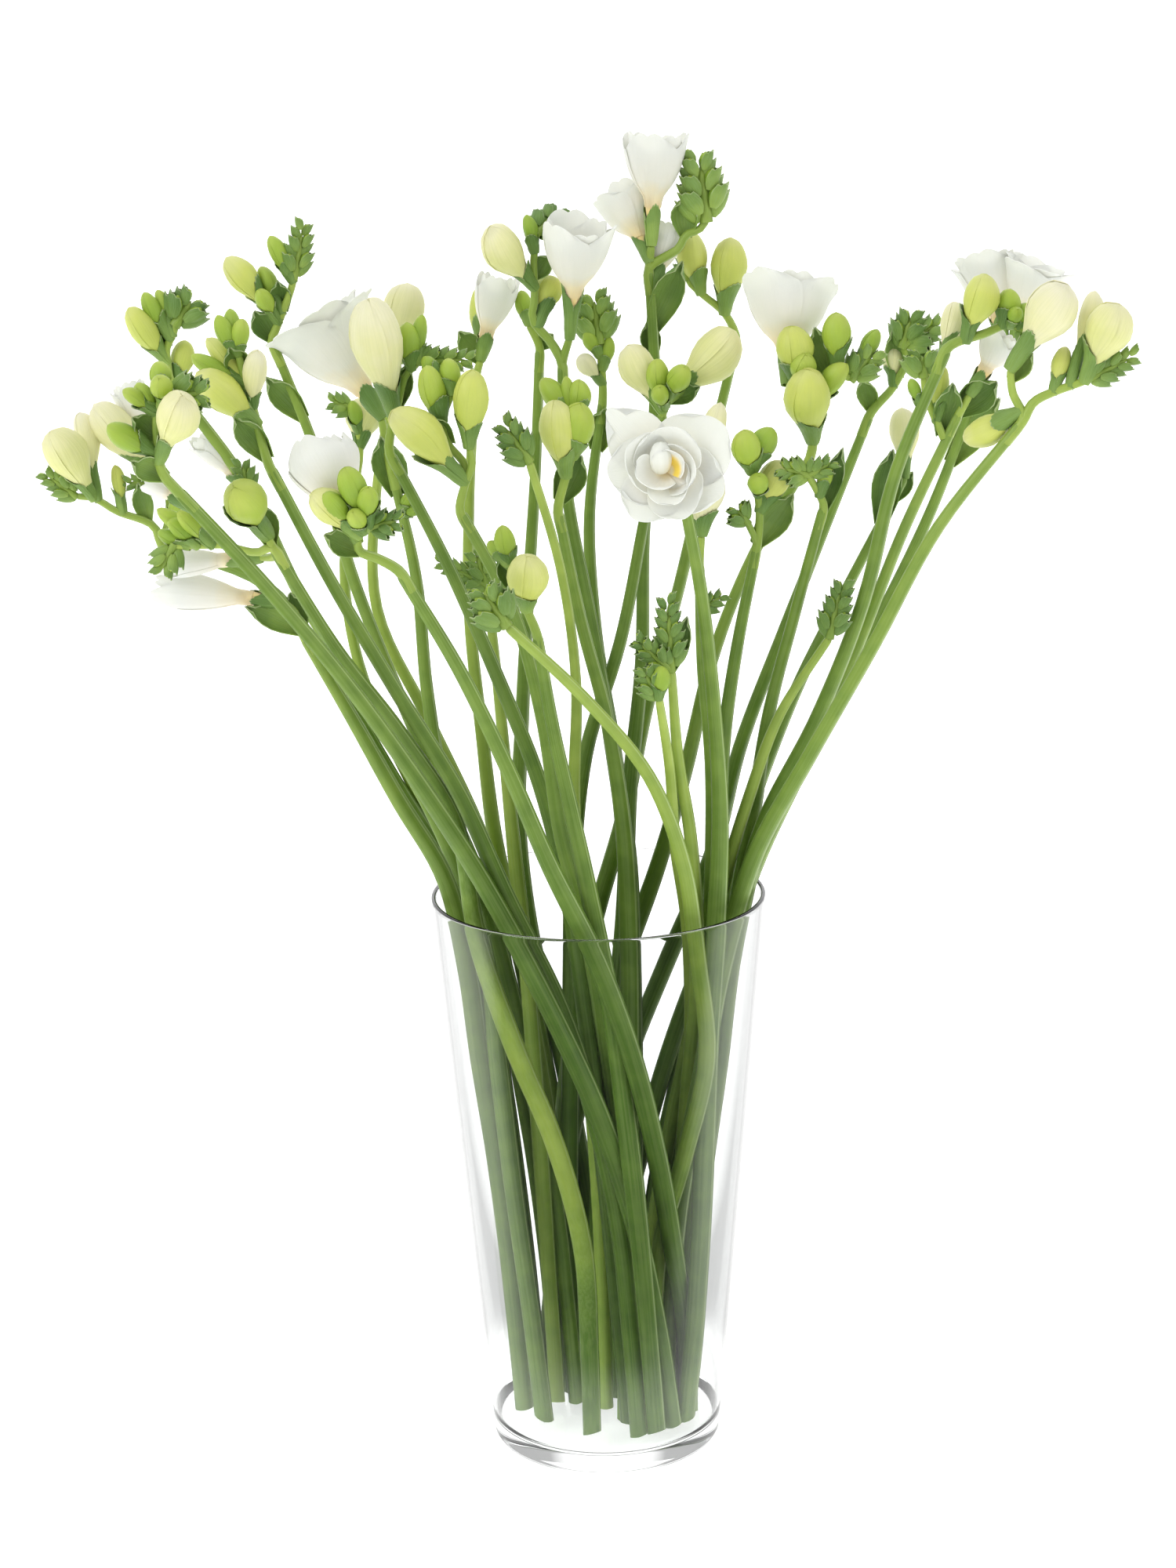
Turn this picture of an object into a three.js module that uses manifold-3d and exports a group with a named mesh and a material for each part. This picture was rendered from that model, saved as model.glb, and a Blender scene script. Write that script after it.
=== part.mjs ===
// White freesias in a tapered clear glass vase: thirty-nine cut stems with their flower sprays.
// Units are millimetres, +Z is up, and the origin is the middle of the vase's flat underside.
import * as THREE from 'three';
import { mergeVertices } from 'three/addons/utils/BufferGeometryUtils.js';
import Module from 'manifold-3d';

const wasm = await Module();
wasm.setup();

// ---------------------------------------------------------------- driving dimensions
const VASE_HEIGHT = 230;
const RIM_RADIUS = 66;
const BASE_RADIUS = 46.5;
const WALL = 2.6;
const FLOOR = 8;
const FLOOR_RADIUS = 38.5;
const VASE_SIDES = 36;
const FOOT_CORNER = 3;
const INSIDE_CORNER = 1;
const LIP = 0.5;

const GAP = 0.3;
const FOOT_TRIM = 2;
const STEM_STEPS = 9;
const STEM_SIDES = 5;

const BRACT_SIDES = 5;
const LARGE_WIDTH = 9;
const TUBE_RADIUS = 2;
const TUBE_SHARE = 0.52;
const ROOT_DEPTH = 1.2;
const LEAST_STALK = 1;
const AXIS_SIDES = 3;
const AXIS_STEPS = 3;
const PETAL_THICKNESS = 0.9;
const LEAF_THICKNESS = 1.2;
const CUPPING = 0.7;
const SCALE_PITCH = 5;

// The stems are set out on an upright plane through the vase's axis, as seen from a point in front of it.
// A place is (across, up, depth): where its sight line meets that plane, and how far behind the plane it lies.
const EYE = new THREE.Vector3(-3.3, -1131, 560);

// How the stems are moved apart: gap kept, how much of a push goes sideways and up, and its limits.
const SETTLE_ROUNDS = 260;
const SETTLE_GAP = 1.1;
const SIDEWAYS_SHARE = 0.3;
const UPRIGHT_SHARE = 0.15;
const LEAST_DEPTH_SHARE = 0.3;
const LEVEL = 0.02;
const SMOOTHING = 0.12;
const LARGEST_PUSH = 2.5;
const WATCHED = 14;
const WATCH_ROUNDS = 20;
const WALL_CLEARANCE = 0.6;
const RIM_CLEARANCE = 1;
const TINY = 1e-9;

const COLOURS = {
  glass: 0xeef3f2,
  stem: 0x5f8f35,
  white: 0xf4f3ec,
};

// ---------------------------------------------------------------- setting out
// Each stem: name, half thickness, foot [across, depth], then the places it passes through up to its neck,
// then its spray. The parts of a spray hold their places on the same plane, with depths counted from the neck:
//   x  side axis: half thickness, places
//   g, y, c  green, yellow-green and cream bud: base, tip, width, depth of the base, depth from base to tip
//   f  funnel flower and o  double flower, written the same way; l  leafy bract; t  scaly tip of unopened buds
// A capital letter marks a bloom that is a piece of its own, seated in its bract.
const STEMS = [
  ['stem_01', 2.9, [-34, 6], [[-40, 90, 10], [-55, 200, 12], [-64, 232, 14], [-88, 280, 30], [-113, 327, 42],
    [-133, 356, 48], [-152, 366, 50], [-171, 371, 52]],
  [['x', 1.6, [[-171, 371, 0], [-174, 379, 0], [-188, 385, -2], [-196, 390, -2], [-203, 391, -2]]],
    ['x', 1.3, [[-171, 371, 0], [-169, 380, 4], [-168, 389, 4], [-170, 395, 4]]],
    ['C', -194, 396, -209, 413, 14, -4, -5], ['C', -181, 398, -192, 422, 13, 6, 4],
    ['y', -184, 388, -187, 401, 5, 2, 2], ['l', -176, 381, -179, 395, 6, -2, -2],
    ['g', -167, 381, -164, 388, 5, 0, -4], ['t', -203, 391, -216, 401, 7, -2, 0],
    ['t', -170, 395, -187, 396, 5, 2, -2]]],
  ['stem_02', 3.1, [-38, -6], [[-43, 100, -6], [-56, 190, -8], [-62, 226, -10], [-80, 262, -20], [-103, 307, -34],
    [-118, 335, -42]],
  [['x', 1.7, [[-118, 335, 0], [-121, 344, 0], [-125, 348, -1]]],
    ['F', -127, 349, -174, 355, 15, -1, 4], ['l', -119, 336, -139, 346, 6, -2, -2],
    ['l', -118, 338, -122, 351, 7, 2, 1]]],
  ['stem_03', 3.2, [31, -20], [[24, 40, -26], [7, 116, -44], [-5, 149, -46], [-33, 214, -40], [-45, 236, -36],
    [-68, 275, -55], [-91, 310, -68], [-114, 341, -78], [-137, 369, -88], [-150, 386, -92], [-158, 393, -94]],
  [['x', 1.8, [[-158, 393, 0], [-162, 398, 0], [-164, 404, 0], [-164, 411, 0], [-164, 419, 0], [-162, 426, 0],
    [-158, 428, -1]]],
    ['C', -155, 404, -154, 426, 14, -9, -8], ['l', -164, 396, -174, 404, 7, -2, -2],
    ['g', -169, 406, -181, 416, 8, -2, -3], ['l', -165, 413, -173, 420, 7, -2, -2],
    ['g', -168, 423, -175, 430, 5, 1, -2], ['g', -166, 422, -170, 432, 6, 3, 0],
    ['g', -163, 430, -162, 440, 7, 3, 2], ['g', -161, 427, -162, 434, 7, -4, -6],
    ['t', -158, 428, -143, 430, 10, -1, -3]]],
  ['stem_04', 3.0, [-6, -30], [[-10, 91, -40], [-28, 151, -42], [-40, 183, -38], [-50, 224, -28], [-52, 249, -30],
    [-62, 275, -36], [-94, 322, -55], [-108, 344, -62], [-122, 370, -68]],
  [['x', 1.5, [[-122, 370, 0], [-128, 368, 2], [-141, 371, 4], [-150, 371, 4], [-160, 371, 3]]],
    ['x', 1.5, [[-122, 370, 0], [-127, 382, 4], [-130, 391, 5]]], ['x', 1.5, [[-120, 367, 0], [-123, 366, 6], [-127, 366, 12]]],
    ['g', -145, 375, -163, 384, 6, 2, 2], ['g', -146, 375, -156, 383, 6, 0, -3],
    ['g', -151, 373, -160, 380, 6, 2, -2], ['g', -154, 372, -164, 376, 5, 5, 2],
    ['t', -160, 371, -167, 359, 8, 3, -2], ['y', -129, 376, -135, 391, 14, -11, -8],
    ['l', -122, 371, -126, 386, 7, 2, 2], ['t', -130, 391, -133, 405, 6, 5, 2],
    ['F', -129, 366, -165, 364, 11, 14, 8]]],
  ['stem_05', 3.0, [-30, -14], [[-36, 60, -16], [-44, 130, -10], [-50, 200, -4], [-54, 228, 0], [-66, 258, 6],
    [-86, 298, 14], [-105, 330, 16], [-117, 353, 14], [-126, 374, 10], [-136, 397, 4], [-146, 419, -4],
    [-154, 427, -8], [-161, 433, -10]],
  [['x', 1.7, [[-161, 433, 0], [-162, 440, 0], [-162, 446, 0], [-159, 452, 0], [-158, 456, 0]]],
    ['y', -170, 440, -175, 459, 9, -2, -2], ['y', -157, 433, -155, 447, 8, 4, 3],
    ['l', -162, 446, -170, 456, 7, -2, -1], ['g', -165, 452, -169, 465, 6, -1, 0],
    ['g', -163, 453, -164, 466, 5, 2, 1], ['t', -158, 455, -150, 466, 12, 0, 0]]],
  ['stem_06', 2.7, [-20, 18], [[-24, 90, 22], [-36, 180, 20], [-42, 225, 16], [-48, 240, 18], [-60, 272, 22],
    [-70, 298, 24], [-79, 320, 24], [-88, 345, 22], [-98, 385, 14], [-105, 413, 8], [-108, 424, 6],
    [-106, 433, 6], [-112, 440, 8], [-118, 448, 10]],
  [['x', 1.6, [[-118, 448, 0], [-116, 453, 0], [-113, 460, 0], [-110, 467, 0], [-108, 474, 0]]],
    ['l', -119, 449, -124, 459, 7, -2, -2], ['g', -121, 457, -122, 466, 6, -3, -2],
    ['y', -125, 460, -133, 477, 10, 1, 1], ['g', -121, 462, -121, 474, 6, 4, 2],
    ['l', -116, 460, -115, 470, 6, -2, -1], ['g', -116, 472, -117, 485, 6, 0, 0],
    ['t', -109, 471, -104, 493, 8, 0, 0], ['l', -109, 418, -120, 434, 8, -2, -2]]],
  ['stem_07', 3.0, [20, -30], [[12, 90, -38], [-2, 150, -42], [-16, 190, -42], [-32, 223, -36], [-44, 252, -40],
    [-61, 287, -45], [-79, 316, -50], [-96, 347, -52], [-113, 381, -55], [-122, 400, -55]],
  [['x', 1.7, [[-122, 400, 0], [-125, 412, 0], [-127, 421, 0], [-130, 434, 0], [-132, 443, 0]]],
    ['l', -124, 402, -134, 419, 8, -3, -2], ['y', -130, 415, -146, 434, 12, -3, -6],
    ['c', -128, 422, -125, 442, 8, -4, -3], ['y', -131, 429, -142, 447, 7, 3, 4],
    ['g', -135, 430, -148, 441, 6, 1, 0], ['l', -130, 435, -135, 445, 7, -2, -1],
    ['g', -132, 443, -138, 455, 6, -1, -1], ['g', -132, 443, -134, 457, 6, 1, 1],
    ['g', -131, 443, -130, 454, 6, -1, -2]]],
  ['stem_08', 3.1, [34, -12], [[34, 26, -16], [21, 121, -42], [10, 168, -48], [-4, 208, -50], [-10, 220, -50],
    [-21, 245, -54], [-31, 270, -60], [-43, 300, -68], [-60, 334, -78], [-75, 360, -85]],
  [['x', 1.8, [[-75, 360, 0], [-83, 365, 0], [-90, 368, 0], [-90, 374, -3], [-86, 377, -6]]],
    ['F', -92, 377, -105, 410, 27, 5, 6], ['l', -90, 367, -103, 374, 7, -2, -2],
    ['y', -96, 375, -106, 389, 11, -5, -5], ['g', -95, 380, -102, 389, 8, -7, -5],
    ['g', -91, 383, -94, 398, 9, -8, -4], ['g', -87, 382, -86, 391, 7, -9, -6],
    ['g', -92, 375, -92, 382, 6, -9, -7], ['t', -86, 376, -72, 380, 7, -6, -4]]],
  ['stem_09', 3.0, [12, -26], [[4, 100, -34], [-2, 160, -34], [-9, 220, -28], [-12, 235, -26], [-19, 264, -25],
    [-27, 296, -25], [-42, 328, -25], [-59, 371, -25], [-67, 389, -25], [-76, 405, -25]],
  [['x', 1.7, [[-76, 405, 0], [-75, 414, 2], [-72, 424, 3], [-69, 434, 3], [-64, 439, 3]]],
    ['C', -79, 420, -82, 459, 18, -6, -8], ['l', -73, 423, -68, 438, 6, 2, 1],
    ['g', -68, 438, -68, 452, 8, 2, 0], ['g', -62, 442, -62, 455, 5, 4, 1],
    ['t', -63, 439, -42, 440, 7, 2, -2]]],
  ['stem_10', 2.8, [-12, 0], [[-20, 100, 6], [-36, 190, 10], [-45, 226, 10], [-52, 245, 12], [-60, 270, 12],
    [-65, 295, 12], [-67, 325, 10], [-70, 362, 8], [-73, 380, 8], [-78, 400, 8]],
  [['x', 1.9, [[-78, 400, 0], [-80, 412, 0], [-81, 419, 0]]],
    ['F', -81, 421, -105, 458, 32, 2, 2], ['l', -75, 389, -81, 411, 10, -3, -2]]],
  ['stem_11', 2.5, [-8, 22], [[-16, 100, 24], [-28, 190, 24], [-38, 235, 26], [-45, 255, 28], [-53, 280, 32],
    [-62, 297, 34], [-68, 308, 35], [-76, 328, 38], [-83, 345, 40], [-84, 375, 42], [-78, 412, 44],
    [-72, 440, 45]],
  [['c', -71, 446, -68, 467, 15, 0, 2]]],
  ['stem_12', 2.5, [-28, 16], [[-34, 100, 18], [-46, 195, 16], [-52, 232, 18], [-64, 258, 24], [-78, 288, 30],
    [-88, 312, 34], [-95, 340, 36], [-95, 368, 38], [-92, 388, 40], [-88, 404, 40]],
  [['x', 1.6, [[-88, 404, 0], [-88, 414, 0], [-90, 422, 0]]],
    ['g', -89, 413, -90, 423, 5, -2, -1], ['c', -87, 408, -84, 424, 14, 4, 4],
    ['t', -90, 423, -100, 426, 6, 0, 0]]],
  ['stem_13', 2.7, [-4, 30], [[-14, 100, 32], [-30, 200, 30], [-38, 233, 30], [-42, 274, 32], [-45, 300, 34],
    [-48, 343, 38], [-47, 385, 42], [-45, 410, 44], [-43, 433, 45]],
  [['x', 1.8, [[-43, 433, 0], [-41, 440, 0]]], ['F', -40, 442, -33, 471, 17, 0, 0],
    ['y', -48, 443, -42, 464, 6, 14, 6], ['l', -44, 440, -49, 450, 7, -2, -1]]],
  ['stem_14', 2.5, [-20, -2], [[-24, 100, 0], [-29, 200, 2], [-31, 225, 2], [-33, 249, 2], [-36, 290, 1],
    [-39, 331, 0], [-41, 353, 0]],
  [['t', -41, 354, -61, 364, 6, 0, -2], ['t', -43, 356, -46, 369, 7, 2, 1]]],
  ['stem_15', 2.9, [6, 33], [[-6, 100, 36], [-24, 200, 38], [-31, 222, 38], [-29, 295, 42], [-28, 318, 44],
    [-24, 367, 46], [-20, 420, 50], [-19, 444, 50]],
  [['x', 1.8, [[-19, 444, 0], [-23, 453, 0]]], ['l', -18, 444, -14, 449, 5, -1, -1],
    ['g', -23, 453, -25, 463, 6, 0, 0]]],
  ['stem_16', 3.0, [16, -32], [[10, 100, -36], [2, 170, -36], [-6, 222, -38], [-13, 248, -38], [-18, 287, -38],
    [-25, 321, -38], [-29, 337, -38], [-37, 358, -39], [-45, 373, -40], [-50, 382, -40]],
  [['x', 1.7, [[-50, 382, 0], [-48, 392, 0], [-45, 400, 0], [-46, 407, 0]]],
    ['x', 1.5, [[-48, 392, 0], [-48, 400, 3], [-54, 408, 4], [-56, 416, 4], [-52, 427, 4]]],
    ['y', -57, 395, -73, 418, 14, -4, -4], ['y', -45, 409, -44, 433, 12, -2, -2],
    ['l', -53, 407, -63, 418, 8, -1, -2], ['g', -58, 417, -61, 435, 9, 3, 0],
    ['g', -52, 427, -53, 438, 7, 5, 2], ['g', -60, 433, -62, 440, 5, 6, 3]]],
  ['stem_17', 3.0, [24, -26], [[14, 100, -40], [4, 190, -46], [-2, 222, -48], [-7, 250, -50], [-12, 272, -52],
    [-17, 300, -56], [-22, 334, -62]],
  [['x', 1.7, [[-22, 334, 0], [-25, 342, 0], [-30, 354, 1], [-32, 361, 1]]],
    ['y', -25, 344, -25, 362, 14, -3, -6], ['l', -30, 350, -36, 364, 6, 2, 1],
    ['g', -31, 361, -34, 374, 7, 3, 2], ['g', -34, 361, -39, 369, 5, 4, 2]]],
  ['stem_18', 3.0, [8, -14], [[10, 100, -14], [12, 200, -12], [11, 232, -12], [9, 273, -12], [2, 311, -12],
    [-8, 352, -14], [-13, 382, -15]],
  [['x', 1.8, [[-13, 382, 0], [-10, 394, 0], [-7, 404, 1], [-6, 414, 2]]],
    ['y', -17, 397, -14, 421, 13, -5, -3], ['g', -5, 402, -4, 420, 12, -4, -3],
    ['g', -5, 418, -4, 430, 8, 3, 2], ['g', -9, 417, -9, 431, 5, 4, 2], ['g', -17, 414, -18, 430, 8, 5, 4],
    ['l', -10, 386, -4, 402, 9, 2, 1]]],
  ['stem_19', 2.3, [0, -8], [[-2, 100, -10], [-8, 220, -14], [-9, 270, -18], [-8, 293, -20], [-8, 338, -24],
    [-11, 353, -26], [-15, 366, -28], [-18, 376, -30], [-20, 390, -33], [-24, 401, -35]],
  [['t', -24, 401, -35, 417, 9, 0, -1]]],
  ['stem_20', 3.0, [4, 4], [[8, 100, 4], [12, 200, 4], [12, 235, 6], [9, 273, 8], [2, 318, 10], [-4, 360, 12],
    [-10, 397, 14], [-10, 438, 15]],
  [['x', 1.7, [[-10, 438, 0], [-14, 446, 0], [-21, 455, 0], [-20, 462, 0], [-20, 476, 0], [-19, 487, 0]]],
    ['x', 1.8, [[-10, 438, 0], [-7, 448, -2]]],
    ['F', -6, 455, -3, 492, 26, -6, -5], ['C', -25, 466, -35, 487, 14, -8, -2],
    ['y', -15, 456, -13, 469, 10, 5, 3], ['g', -20, 480, -22, 491, 5, 0, 0],
    ['l', -18, 471, -14, 478, 6, 0, 0], ['t', -19, 487, -9, 496, 9, 9, 6]]],
  ['stem_21', 2.9, [10, 20], [[14, 100, 22], [14, 200, 26], [13, 240, 28], [11, 262, 28], [6, 300, 30],
    [1, 335, 32], [-1, 365, 33], [0, 390, 34], [5, 424, 35]],
  [['x', 1.7, [[5, 424, 0], [5, 433, 0], [4, 446, 0]]], ['t', 4, 446, 2, 465, 12, 0, 0],
    ['g', -1, 440, -1, 449, 5, -1, -1], ['g', 8, 436, 8, 446, 5, 1, 0], ['c', 0, 430, -3, 440, 7, -2, -1],
    ['l', 3, 405, 6, 420, 9, -2, -1]]],
  ['stem_22', 2.9, [-16, 14], [[-15, 100, 18], [-12, 200, 20], [-10, 250, 20], [-6, 281, 18], [4, 316, 14],
    [15, 347, 10], [19, 377, 8], [24, 400, 6], [27, 419, 5]],
  [['x', 1.8, [[27, 419, 0], [29, 424, 0]]], ['C', 30, 430, 52, 447, 17, 6, 2],
    ['c', 18, 421, 14, 442, 13, 3, 2], ['g', 20, 424, 24, 437, 8, -3, -2], ['g', 32, 423, 35, 434, 8, -8, -4],
    ['g', 27, 420, 26, 427, 6, -5, -6], ['l', 33, 421, 41, 428, 6, -5, -2]]],
  ['stem_23', 3.0, [-8, 10], [[-2, 100, 14], [8, 200, 16], [12, 240, 18], [13, 273, 20], [17, 305, 22],
    [19, 336, 24], [20, 377, 28], [24, 410, 30], [25, 435, 32], [27, 449, 33], [25, 460, 34], [23, 473, 35]],
  [['x', 1.8, [[23, 473, 0], [29, 477, 0], [34, 480, 0], [37, 485, 0], [42, 487, 0], [45, 491, 0]]],
    ['x', 1.9, [[23, 473, 0], [24, 482, -1]]],
    ['F', 24, 488, 26, 523, 20, -1, 0], ['f', 20, 477, 13, 502, 15, 8, 7], ['f', 30, 464, 31, 488, 9, 6, 5],
    ['l', 36, 485, 36, 498, 8, -2, -1], ['t', 45, 490, 42, 516, 14, 0, 0], ['l', 28, 450, 35, 474, 9, -2, -2],
    ['l', 25, 441, 22, 452, 6, -1, 1]]],
  ['stem_24', 3.1, [28, -18], [[33, 60, -24], [42, 200, -26], [46, 241, -30], [43, 320, -42], [39, 354, -50],
    [35, 380, -58], [33, 388, -61]],
  [['O', 31, 391, 26, 401, 44, -4, -17]]],
  ['stem_25', 2.9, [30, -4], [[36, 80, -6], [46, 200, -10], [48, 240, -14], [48, 290, -22], [45, 330, -30],
    [45, 361, -35]],
  [['x', 1.8, [[45, 361, 0], [46, 372, 1]]], ['c', 46, 374, 48, 396, 15, 1, 1], ['c', 50, 388, 53, 419, 9, 6, 4],
    ['t', 47, 342, 56, 349, 5, 3, 0]]],
  ['stem_26', 2.9, [-22, 26], [[-18, 100, 28], [-8, 190, 30], [-1, 218, 32], [6, 243, 34], [12, 265, 36],
    [18, 295, 38], [25, 320, 40], [33, 350, 43], [40, 378, 46], [49, 420, 49], [53, 437, 50], [56, 445, 50]],
  [['x', 1.6, [[56, 445, 0], [52, 455, 0], [43, 463, 0], [38, 468, 0], [37, 474, 0]]],
    ['y', 56, 459, 54, 481, 13, -2, -1], ['y', 46, 467, 39, 484, 11, -1, 0],
    ['t', 38, 469, 36, 477, 6, 1, 0]]],
  ['stem_27', 2.4, [32, 8], [[38, 110, 0], [44, 190, -14], [42, 235, -24], [39, 262, -34], [36, 280, -42],
    [33, 302, -50], [33, 318, -55]],
  [['t', 33, 319, 32, 348, 8, 0, 0], ['t', 31, 320, 18, 331, 7, -3, -2], ['l', 33, 321, 39, 338, 6, 2, 1]]],
  ['stem_28', 2.2, [26, 10], [[34, 110, 4], [38, 190, -8], [36, 230, -20], [31, 262, -36], [31, 285, -48],
    [30, 300, -58], [27, 309, -62]],
  [['g', 27, 310, 28, 320, 6, 0, -1], ['t', 27, 311, 20, 322, 7, 0, -2]]],
  ['stem_29', 2.6, [22, -6], [[27, 89, -20], [32, 109, -26], [42, 143, -30], [44, 176, -32], [38, 215, -40],
    [33, 250, -48], [18, 283, -62], [0, 305, -72], [-18, 324, -80], [-33, 338, -85]],
  [['t', -33, 338, -43, 353, 12, 0, -2]]],
  ['stem_30', 3.0, [36, -2], [[38, 60, -4], [44, 140, -6], [48, 200, -8], [50, 222, -10], [50, 262, -14],
    [51, 285, -18], [54, 313, -22], [60, 345, -27], [64, 366, -30]],
  [['x', 1.5, [[64, 366, 0], [60, 376, -3]]], ['x', 1.7, [[64, 367, 0], [65, 378, -1], [64, 388, -3], [62, 395, -3]]],
    ['t', 60, 375, 55, 382, 7, -3, -3], ['y', 68, 381, 73, 397, 11, 2, 2], ['l', 65, 368, 77, 385, 9, 3, 2],
    ['g', 60, 396, 59, 409, 10, -4, -3], ['g', 65, 398, 69, 410, 9, 1, 1], ['g', 65, 385, 65, 392, 7, -6, -5]]],
  ['stem_31', 2.9, [-30, 22], [[-14, 130, 26], [6, 195, 30], [15, 215, 32], [21, 235, 32], [31, 262, 30],
    [36, 287, 26], [41, 312, 22], [53, 341, 14], [63, 368, 8], [69, 385, 4], [77, 396, 0], [83, 400, -2]],
  [['x', 1.8, [[83, 400, 0], [85, 412, 1], [88, 428, 2], [94, 432, 2], [99, 430, 2]]],
    ['x', 1.6, [[86, 420, 2], [79, 427, 3], [74, 429, 5]]],
    ['y', 83, 407, 82, 431, 16, -6, -5], ['y', 78, 430, 76, 448, 13, -2, 0], ['g', 79, 428, 81, 438, 9, -4, -3],
    ['F', 71, 431, 75, 469, 32, 15, 10], ['g', 92, 438, 93, 453, 10, 0, 0], ['l', 88, 434, 85, 449, 8, 2, 1],
    ['g', 91, 420, 96, 434, 8, -3, -2], ['g', 103, 437, 108, 447, 6, 3, 1], ['t', 99, 430, 109, 442, 9, 1, 0]]],
  ['stem_32', 2.9, [34, 14], [[36, 60, 12], [46, 150, 8], [54, 215, 4], [56, 225, 3], [59, 243, 0], [63, 270, -5],
    [68, 303, -10], [77, 339, -18], [84, 359, -22], [88, 381, -25]],
  [['x', 1.6, [[88, 381, 0], [85, 388, -1], [82, 393, -2]]], ['t', 83, 394, 70, 397, 7, -3, -4],
    ['t', 83, 394, 93, 399, 6, -2, -2], ['g', 88, 386, 89, 397, 5, 0, 0], ['l', 90, 380, 95, 402, 6, 2, 0]]],
  ['stem_33', 2.9, [-20, 32], [[-14, 80, 34], [10, 160, 40], [34, 215, 38], [42, 232, 36], [52, 266, 34],
    [61, 302, 32], [74, 333, 30], [86, 365, 28], [98, 392, 26], [107, 417, 25]],
  [['x', 1.7, [[107, 417, 0], [115, 426, 0], [118, 431, 0], [121, 437, 0], [119, 442, 0]]],
    ['t', 119, 442, 123, 456, 10, 0, 0], ['t', 122, 452, 134, 452, 9, 0, -1],
    ['l', 119, 437, 129, 445, 7, -2, -1], ['l', 117, 431, 115, 447, 6, 1, 0], ['c', 113, 429, 115, 441, 8, 4, 3],
    ['l', 107, 418, 104, 430, 6, -1, -1]]],
  ['stem_34', 3.3, [36, 8], [[38, 80, 4], [48, 160, -4], [56, 215, -10], [59, 228, -12], [64, 247, -14],
    [92, 307, -24], [104, 340, -30], [113, 365, -34], [116, 387, -37], [122, 408, -40], [130, 429, -43],
    [137, 441, -45]],
  [['x', 1.8, [[137, 441, 0], [151, 446, 0], [159, 449, 0], [164, 448, 0]]],
    ['y', 142, 449, 150, 466, 12, -3, -2], ['g', 157, 451, 160, 461, 8, -1, -1],
    ['g', 161, 449, 163, 454, 5, -4, -4], ['g', 165, 449, 167, 456, 6, 0, -1],
    ['t', 163, 448, 173, 443, 8, -1, -2], ['g', 124, 420, 123, 428, 4, 3, 1]]],
  ['stem_35', 3.1, [30, -14], [[34, 80, -14], [48, 160, -12], [59, 215, -8], [63, 230, -10], [83, 272, -32],
    [101, 303, -38], [119, 337, -44], [134, 364, -48], [148, 393, -52], [159, 405, -54], [170, 414, -55]],
  [['x', 1.8, [[170, 414, 0], [174, 421, 0], [182, 425, 0], [188, 427, 0], [194, 429, 0]]],
    ['x', 1.7, [[170, 415, 0], [166, 425, 2], [165, 434, 2]]],
    ['C', 177, 437, 185, 462, 17, -2, -1], ['c', 182, 440, 195, 460, 8, 9, 5], ['C', 191, 436, 204, 455, 16, -3, 0],
    ['y', 180, 427, 185, 440, 6, 4, 3], ['t', 194, 429, 214, 439, 7, 0, 0], ['y', 168, 417, 150, 408, 10, 5, 4],
    ['l', 165, 430, 173, 439, 6, 1, 0]]],
  ['stem_36', 2.9, [20, 16], [[28, 80, 14], [44, 170, 8], [56, 215, 2], [62, 232, 0], [80, 272, -4],
    [98, 310, -8], [119, 365, -12], [130, 389, -14], [143, 417, -15]],
  [['l', 143, 417, 156, 428, 10, -1, -1], ['x', 1.7, [[143, 417, 0], [147, 424, 0]]],
    ['F', 150, 429, 160, 446, 16, -2, -2], ['y', 133, 414, 135, 433, 9, 5, 4], ['l', 137, 408, 140, 427, 8, -2, -2],
    ['x', 1.5, [[137, 407, 0], [130, 424, 1], [129, 431, 1]]], ['t', 129, 431, 128, 441, 10, 1, 0]]],
  ['stem_37', 2.9, [0, 28], [[10, 80, 32], [34, 170, 30], [50, 212, 22], [60, 235, 18], [75, 265, 18],
    [95, 300, 20], [110, 330, 22], [128, 368, 26], [141, 398, 28], [150, 425, 30]],
  [['x', 1.8, [[150, 425, 0], [158, 440, 0], [164, 446, 0]]], ['F', 157, 445, 152, 477, 24, 6, 6],
    ['F', 168, 448, 173, 474, 24, -2, 0], ['l', 141, 398, 158, 421, 9, -2, -2]]],
  ['stem_38', 2.8, [14, 8], [[20, 90, 24], [40, 180, 28], [52, 225, 26], [57, 240, 26], [67, 270, 30],
    [80, 305, 34], [96, 338, 38], [112, 370, 42], [124, 393, 45]],
  [['c', 126, 397, 123, 417, 11, 0, 0], ['l', 113, 376, 119, 402, 9, -2, -1], ['l', 119, 384, 126, 394, 6, 2, 1]]],
  ['stem_39', 2.4, [12, -2], [[22, 90, 0], [40, 180, 0], [50, 225, -6], [55, 245, -10], [65, 275, -16],
    [71, 291, -20], [82, 316, -26], [94, 330, -30]],
  [['t', 95, 331, 99, 353, 8, 0, 0]]],
];

// ---------------------------------------------------------------- solids
const UP = new THREE.Vector3(0, 1, 0);

function enclosedVolume(positions, triangles) {
  const corner = (k) => new THREE.Vector3().fromArray(positions, 3 * triangles[k]);
  let volume = 0;
  for (let k = 0; k < triangles.length; k += 3) {
    volume += corner(k).dot(corner(k + 1).cross(corner(k + 2))) / 6;
  }
  return volume;
}

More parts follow.
